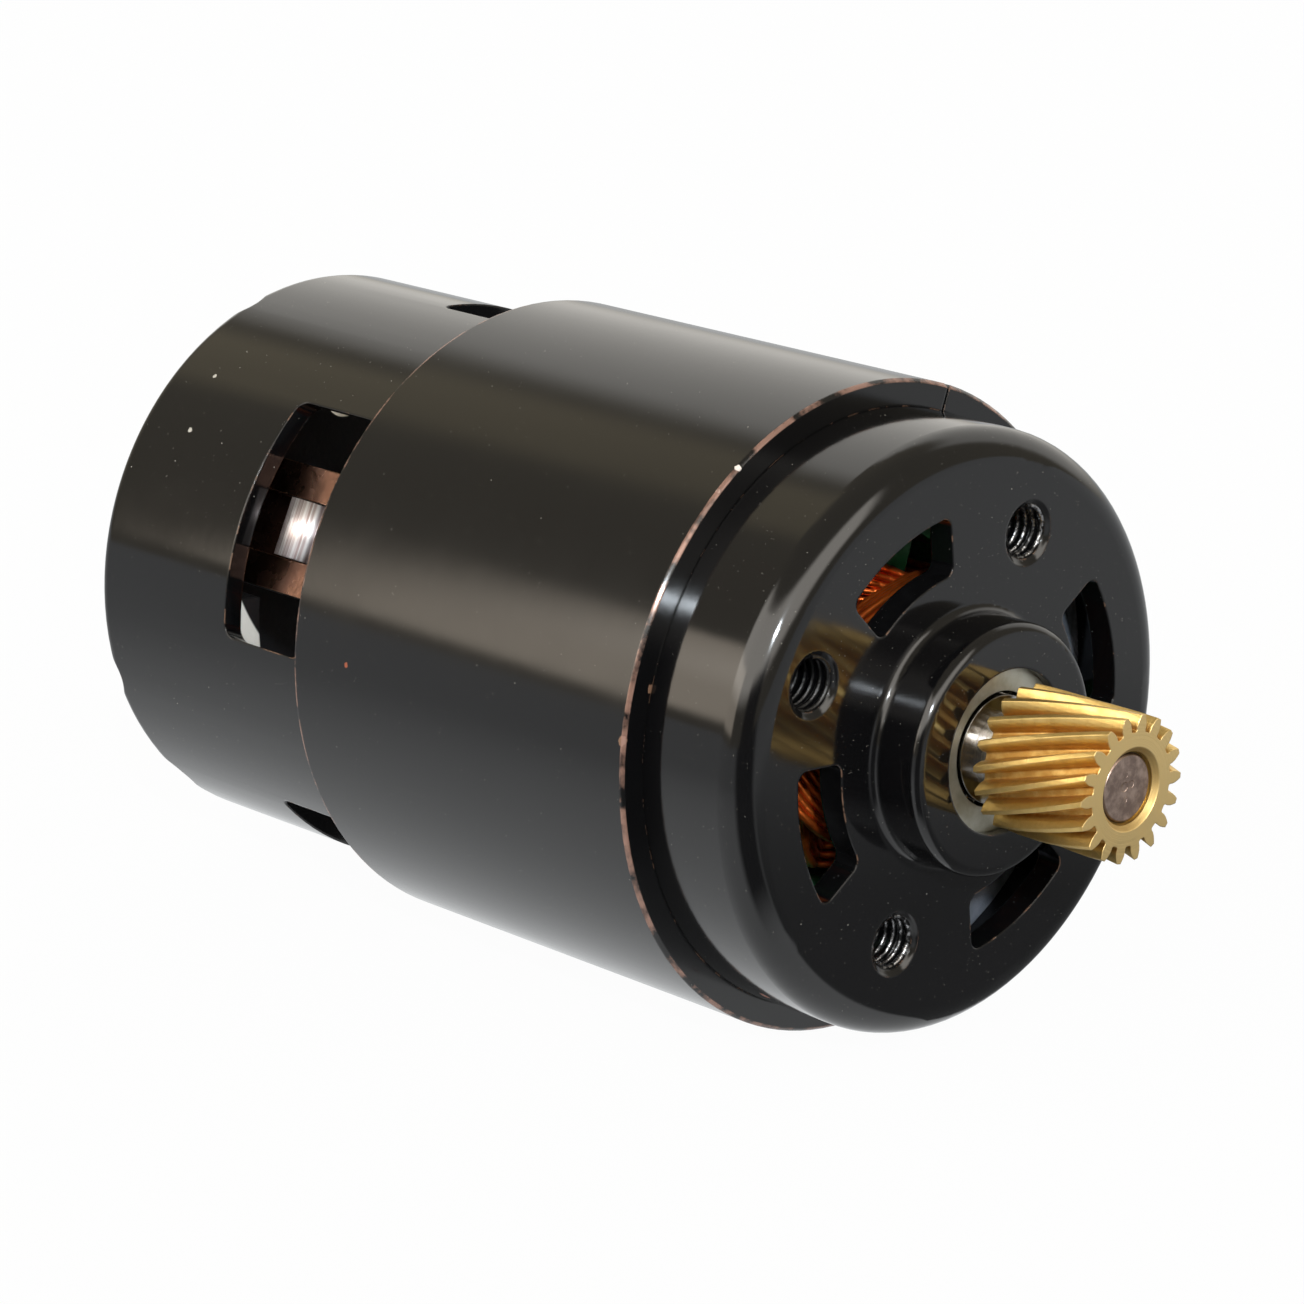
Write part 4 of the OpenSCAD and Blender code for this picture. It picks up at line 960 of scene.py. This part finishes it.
# Painted shade: the teeth's roots are darkened, more in some patches than in others.
root_shade_patches = patchy(tree, size=0.9, low=0.3, high=0.6)
root_painted_shade = math_node(tree, "MULTIPLY", tooth_root, between(tree, root_shade_patches, 0.35, 0.75))
bright_edges = worn_edges(tree, low=0.03, high=0.2)
brass_tone = mix_colour(tree, dulled, brass_bright, brass_dull)
brass_tone = mix_colour(tree, root_painted_shade, brass_tone, brass_root_shade)
brass_tone = mix_colour(tree, front_face, brass_tone, brass_face)
brass_tone = mix_colour(tree, math_node(tree, "MULTIPLY", bore_painted_shade, 0.75), brass_tone, brass_bore_shade)
brass_tone = mix_colour(tree, math_node(tree, "MULTIPLY", bright_edges, 0.3), brass_tone, brass_edge)
brass_rough = math_node(tree, "MULTIPLY_ADD", tooth_root, 0.1, between(tree, dulled, 0.35, 0.45))
brass_rough = math_node(tree, "MULTIPLY_ADD", bore_painted_shade, 0.18, brass_rough)
brass_height = add_node(tree, "ShaderNodeMix", {
    0: front_face, 2: marks_along(tree, 0.11), 3: marks_on_face(tree, 0.16)}).outputs[0]
nicks = patchy(tree, size=0.35, low=0.62, high=0.7, detail=2.0)
brass_height = math_node(tree, "MULTIPLY_ADD", nicks, -0.25, brass_height)
coat(tree, shader, brass_tone, brass_rough,
     raised(tree, brass_height, strength=0.55, depth=0.03, rounding=0.09))
dress(pinion_brass, "pinion")

# ---------------------------------------------------------------- front bearing
# A small deep-groove ball bearing held in the boss: ground races, seven polished balls in a pressed
# cage, and a thin satin shield clipped into each side of the outer race.

race_bright = (0.50, 0.49, 0.47)
race_hazy = (0.30, 0.28, 0.25)
ball_bright = (0.82, 0.83, 0.85)
ball_oily = (0.66, 0.63, 0.56)
cage_pale = (0.58, 0.54, 0.44)
cage_dark = (0.42, 0.37, 0.28)
# Both shield tones are darkened as painted shade, for the shade inside the boss.
shield_shaded_pale = (0.50, 0.49, 0.42)
shield_shaded_dark = (0.38, 0.36, 0.28)

race_steel, tree, shader = new_material("race_steel", metallic=1.0)
race_haze = patchy(tree, size=2.0, low=0.4, high=0.7)
coat(tree, shader, mix_colour(tree, race_haze, race_bright, race_hazy), between(tree, race_haze, 0.08, 0.16),
     raised(tree, marks_on_face(tree, 0.05), strength=0.3, depth=0.006, rounding=0.1))
dress(race_steel, "bearing_outer_race", "bearing_inner_race")

ball_steel, tree, shader = new_material("ball_steel", metallic=1.0)
ball_oil = patchy(tree, size=1.0, low=0.45, high=0.7)
coat(tree, shader, mix_colour(tree, ball_oil, ball_bright, ball_oily), between(tree, ball_oil, 0.03, 0.13))
dress(ball_steel, "bearing_balls")

cage_steel, tree, shader = new_material("cage_steel", metallic=1.0)
cage_mark = patchy(tree, size=0.4, low=0.35, high=0.65)
coat(tree, shader, mix_colour(tree, cage_mark, cage_pale, cage_dark), between(tree, cage_mark, 0.28, 0.48),
     raised(tree, cage_mark, strength=0.3, depth=0.02, rounding=0.08))
dress(cage_steel, "bearing_cage")

shield_steel, tree, shader = new_material("shield_steel", metallic=0.85)
shield_marks = marks_on_face(tree, 0.07)
shield_film = patchy(tree, size=1.8, low=0.35, high=0.7)
coat(tree, shader, mix_colour(tree, shield_film, shield_shaded_pale, shield_shaded_dark),
     between(tree, shield_marks, 0.28, 0.48),
     raised(tree, shield_marks, strength=0.4, depth=0.008, rounding=0.06))
dress(shield_steel, "bearing_shield_front", "bearing_shield_rear")

# ---------------------------------------------------------------- brush gear
# Pressed copper-alloy boxes guide two carbon brushes onto the commutator. A bright strip of spring
# steel, rolled up like a clock spring, sits behind each brush and pushes it in.

box_brown = (0.22, 0.12, 0.085)
box_stained = (0.11, 0.06, 0.045)
box_rubbed = (0.45, 0.26, 0.18)
carbon_black = (0.028, 0.028, 0.03)
carbon_coppery = (0.10, 0.08, 0.07)
strip_pink = (0.60, 0.47, 0.47)
strip_bright = (0.96, 0.94, 0.95)
brush_turn = 154.4
roll_centre = 16.0
roll_inner = 0.95
roll_outer = 2.0
roll_turns = 7.0
strip_t = 0.11
strip_width = 4.28

box_copper, tree, shader = new_material("box_copper", metallic=1.0)
box_stain = patchy(tree, size=2.2, low=0.35, high=0.7)
box_edge = worn_edges(tree, low=0.02, high=0.12)
box_tone = mix_colour(tree, box_stain, box_brown, box_stained)
coat(tree, shader, mix_colour(tree, box_edge, box_tone, box_rubbed), between(tree, box_stain, 0.2, 0.35),
     raised(tree, box_stain, strength=0.4, depth=0.03, rounding=0.15))
dress(box_copper, "brush_box_a", "brush_box_b")

brush_carbon, tree, shader = new_material("brush_carbon")
carbon_grain = patchy(tree, size=0.18, low=0.35, high=0.65, detail=4.0)
coat(tree, shader, mix_colour(tree, carbon_grain, carbon_black, carbon_coppery),
     between(tree, carbon_grain, 0.4, 0.6),
     raised(tree, carbon_grain, strength=0.4, depth=0.02, rounding=0.1))
dress(brush_carbon, "brush_a", "brush_b")

spring_steel, tree, shader = new_material("spring_steel", metallic=1.0)
strip_marks = marks_along(tree, 0.22)
strip_tone = add_node(tree, "ShaderNodeMapRange", {0: strip_marks, 1: 0.35, 2: 0.62}).outputs[0]
coat(tree, shader, mix_colour(tree, strip_tone, strip_pink, strip_bright),
     between(tree, strip_tone, 0.42, 0.52),
     raised(tree, strip_marks, strength=0.8, depth=0.06))

roll_spring, r_in = geometry_tree("roll_spring", {
    "Inner Radius": 0.001, "Outer Radius": 0.002, "Turns": 6.0, "Strip": 0.0001, "Width": 0.004,
    "Steel": None})
roll_path = add_node(roll_spring, "GeometryNodeCurveSpiral", {
    "Resolution": 40, "Rotations": r_in["Turns"], "Start Radius": r_in["Inner Radius"],
    "End Radius": r_in["Outer Radius"], "Height": 0.0})
roll_profile = add_node(roll_spring, "GeometryNodeCurvePrimitiveQuadrilateral", {
    0: r_in["Strip"], 1: r_in["Width"]})
roll_mesh = add_node(roll_spring, "GeometryNodeCurveToMesh", {
    "Curve": roll_path.outputs[0], "Profile Curve": roll_profile.outputs[0], "Fill Caps": True})
roll_rows = add_node(roll_spring, "GeometryNodeInstanceOnPoints", {
    "Points": r_in["Geometry"], "Instance": roll_mesh.outputs[0]})
close_tree(roll_spring, roll_rows.outputs[0], r_in["Steel"], smooth=False)

for letter, turn in (("a", brush_turn), ("b", brush_turn + 180.0)):
    roll_low, roll_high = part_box("spring_roll_" + letter)
    roll_along = (roll_low[0] + roll_high[0]) / 2 / MM
    roll = grown("rolled_spring_" + letter, guide_mesh("roll_guide", [(0.0, 0.0, 0.0)]), roll_spring, {
        "Inner Radius": roll_inner * MM, "Outer Radius": (roll_outer - strip_t / 2) * MM,
        "Turns": roll_turns, "Strip": strip_t * MM, "Width": strip_width * MM, "Steel": spring_steel})
    roll.data.transform(Matrix.Translation(around(turn, roll_centre, roll_along))
                        @ Matrix.Rotation(math.radians(turn), 4, "X"))
    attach(roll, "brush_unit_" + letter)
    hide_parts("spring_roll_" + letter)

# ---------------------------------------------------------------- end cap and terminals
# A moulded white nylon cap, slightly yellowed and grainy, crimped into the can's rear rim; its inside
# is painted black as shade. Two tinned brass blades run through it from the brush boxes.

nylon_white = (0.80, 0.79, 0.75)
nylon_yellowed = (0.74, 0.71, 0.62)
nylon_dirty = (0.20, 0.18, 0.15)
cap_inside_shade_black = (0.010, 0.010, 0.011)
tin_bright = (0.76, 0.75, 0.71)
tin_dull = (0.60, 0.58, 0.52)
tin_worn_brass = (0.70, 0.55, 0.28)
cap_floor = -62.5
cap_wall_inner = 17.2
lug_outer = 19.8
lug_start = brush_turn + 17.0

white_nylon, tree, shader = new_material("white_nylon")
moulded = patchy(tree, size=0.35, low=0.3, high=0.7, detail=4.0)
yellowed = patchy(tree, size=6.0, low=0.4, high=0.75)
dirt = use_group(tree, dust_specks, spacing=1.4, size=0.14, amount=0.12)[0]
nylon_tone = mix_colour(tree, yellowed, nylon_white, nylon_yellowed)
nylon_tone = mix_colour(tree, dirt, nylon_tone, nylon_dirty)
cap_at = use_group(tree, motor_place)
# Painted shade: the cap's inside, in front of its floor, is painted black.
past_floor = smooth_step(tree, cap_at["along"], cap_floor - 0.2, cap_floor + 0.2)
inside_wall = smooth_step(tree, cap_at["radius"], cap_wall_inner + 0.45, cap_wall_inner)
# The painted shade leaves the lug's end face white in a wedge, from a point beside the brush box and
# wider away from it.
lug_turn = math_node(tree, "WRAP", math_node(tree, "SUBTRACT", cap_at["turn"], lug_start), 180.0, 0.0)
lug_share = math_node(tree, "MULTIPLY_ADD", lug_turn, -0.2, math_node(
    tree, "SUBTRACT", lug_outer, cap_at["radius"]))
painted_shade_inside = math_node(tree, "MAXIMUM", inside_wall, smooth_step(tree, lug_share, 0.0, 0.2))
painted_shade_inside = math_node(tree, "MULTIPLY", past_floor, painted_shade_inside)
coat(tree, shader, mix_colour(tree, painted_shade_inside, nylon_tone, cap_inside_shade_black), between(tree, moulded, 0.34, 0.52),
     raised(tree, moulded, strength=0.4, depth=0.03, rounding=0.2))
shader.inputs["Subsurface Weight"].default_value = 0.1
shader.inputs["Subsurface Radius"].default_value = (0.001, 0.0008, 0.0006)
dress(white_nylon, "end_cap")

tinned_brass, tree, shader = new_material("tinned_brass", metallic=1.0)
tin_flow = patchy(tree, size=1.4, low=0.3, high=0.7, detail=2.0)
tin_worn = worn_edges(tree, low=0.03, high=0.15)
tin_tone = mix_colour(tree, tin_flow, tin_bright, tin_dull)
coat(tree, shader, mix_colour(tree, tin_worn, tin_tone, tin_worn_brass), between(tree, tin_flow, 0.18, 0.34),
     raised(tree, tin_flow, strength=0.5, depth=0.02, rounding=0.1))
dress(tinned_brass, "terminal_a", "terminal_b")

# ---------------------------------------------------------------- rear bush
# A sintered bronze bush, soaked with oil and pressed into the cap's boss, that carries the shaft's
# rear end.

bronze_clean = (0.50, 0.34, 0.18)
bronze_oily = (0.26, 0.16, 0.08)

sintered_bronze, tree, shader = new_material("sintered_bronze", metallic=0.9)
pores = add_node(tree, "ShaderNodeTexVoronoi", {0: object_place(tree), "Scale": 5200.0}).outputs["Distance"]
bronze_oil = patchy(tree, size=1.5, low=0.4, high=0.7)
coat(tree, shader, mix_colour(tree, bronze_oil, bronze_clean, bronze_oily),
     between(tree, bronze_oil, 0.5, 0.35),
     raised(tree, pores, strength=0.5, depth=0.03, rounding=0.1))
dress(sintered_bronze, "rear_bush")

# ---------------------------------------------------------------- where the points show
# Each image point is set against the finished vertices that show there, and the two boxes are kept.

can_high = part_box("motor_can")[1]
boss_front = can_high[0] / MM
can_radius = can_high[2] / MM
hole_radius = 1.85
hole_points = 24


def photo_place(point):
    """Where a place in metres shows in the photograph's frame."""
    width, height = photo_size
    longest = max(width, height)
    away = point - camera_place
    scale = longest * camera_lens / camera_sensor / -away.dot(towards_camera)
    return (width / 2 - camera_shift[0] * longest + away.dot(camera_right) * scale,
            height / 2 + camera_shift[1] * longest - away.dot(camera_up) * scale)


def finished_places(piece):
    shape = piece.evaluated_get(bpy.context.evaluated_depsgraph_get())
    return [piece.matrix_world @ v.co for v in shape.data.vertices]


motor_pieces = [piece for piece in scene.objects
                if piece.type == "MESH" and piece.name != table.name and not piece.hide_render]
all_tree = surface_tree(*motor_pieces)


def shows(place):
    """True where nothing stands between the camera and a place."""
    away = place - camera_place
    found = all_tree.ray_cast(camera_place, away.normalized())[3]
    return found is None or found > away.length - 0.15 * MM


def seen(piece, along, radius=(0.0, 100.0), turn=(0.0, 360.0)):
    """Where the vertices of a piece show that lie in view and within these limits."""
    points = []
    for place in finished_places(piece):
        at_along, at_radius = place.x / MM, math.hypot(place.y, place.z) / MM
        at_turn = math.degrees(math.atan2(place.z, place.y)) % 360.0
        within = (along[0] <= at_along <= along[1] and radius[0] <= at_radius <= radius[1]
                  and turn[0] <= at_turn <= turn[1])
        if within and shows(place):
            points.append(photo_place(place))
    return points


def middle_of(points):
    return (sum(p[0] for p in points) / len(points), sum(p[1] for p in points) / len(points))


outline = [photo_place(place) for piece in motor_pieces for place in finished_places(piece)]
found_at = {"left": min(outline), "right": max(outline),
            "top": min(outline, key=lambda p: p[1]), "bottom": max(outline, key=lambda p: p[1])}
for hole in ("upper_hole", "left_hole", "lower_hole"):
    middle = around(*hole_places[hole], 0.0)
    found_at[hole] = middle_of([photo_place(middle + around(360.0 * i / hole_points, hole_radius, 0.0))
                                for i in range(hole_points)])
found_at["shaft_tip"] = middle_of(seen(node["shaft"], along=(shaft_tip - 0.05, shaft_tip + 0.05)))
found_at["boss_lip"] = max(seen(node["motor_can"], along=(boss_front - 2.0, boss_front + 0.5)),
                           key=lambda p: p[1])
found_at["seam_front"] = middle_of(seen(
    node["flux_ring"], along=(ring_front - 0.3, ring_front + 0.1),
    radius=(ring_radius - 0.3, ring_radius + 0.05), turn=(68.0, 69.6)))
window_edge = seen(node["motor_can"], along=(-52.4, -43.9), radius=(can_radius - 0.1, can_radius + 0.2),
                   turn=(120.0, 190.0))
found_at["window_corner"] = min(window_edge, key=lambda p: p[1])
found_at["window_low_corner"] = min(window_edge, key=lambda p: p[0] - 0.4 * p[1])
for name in photo_points:
    if name not in found_at:
        found_at[name] = photo_place(surface_behind(name, can_tree))

low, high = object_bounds()
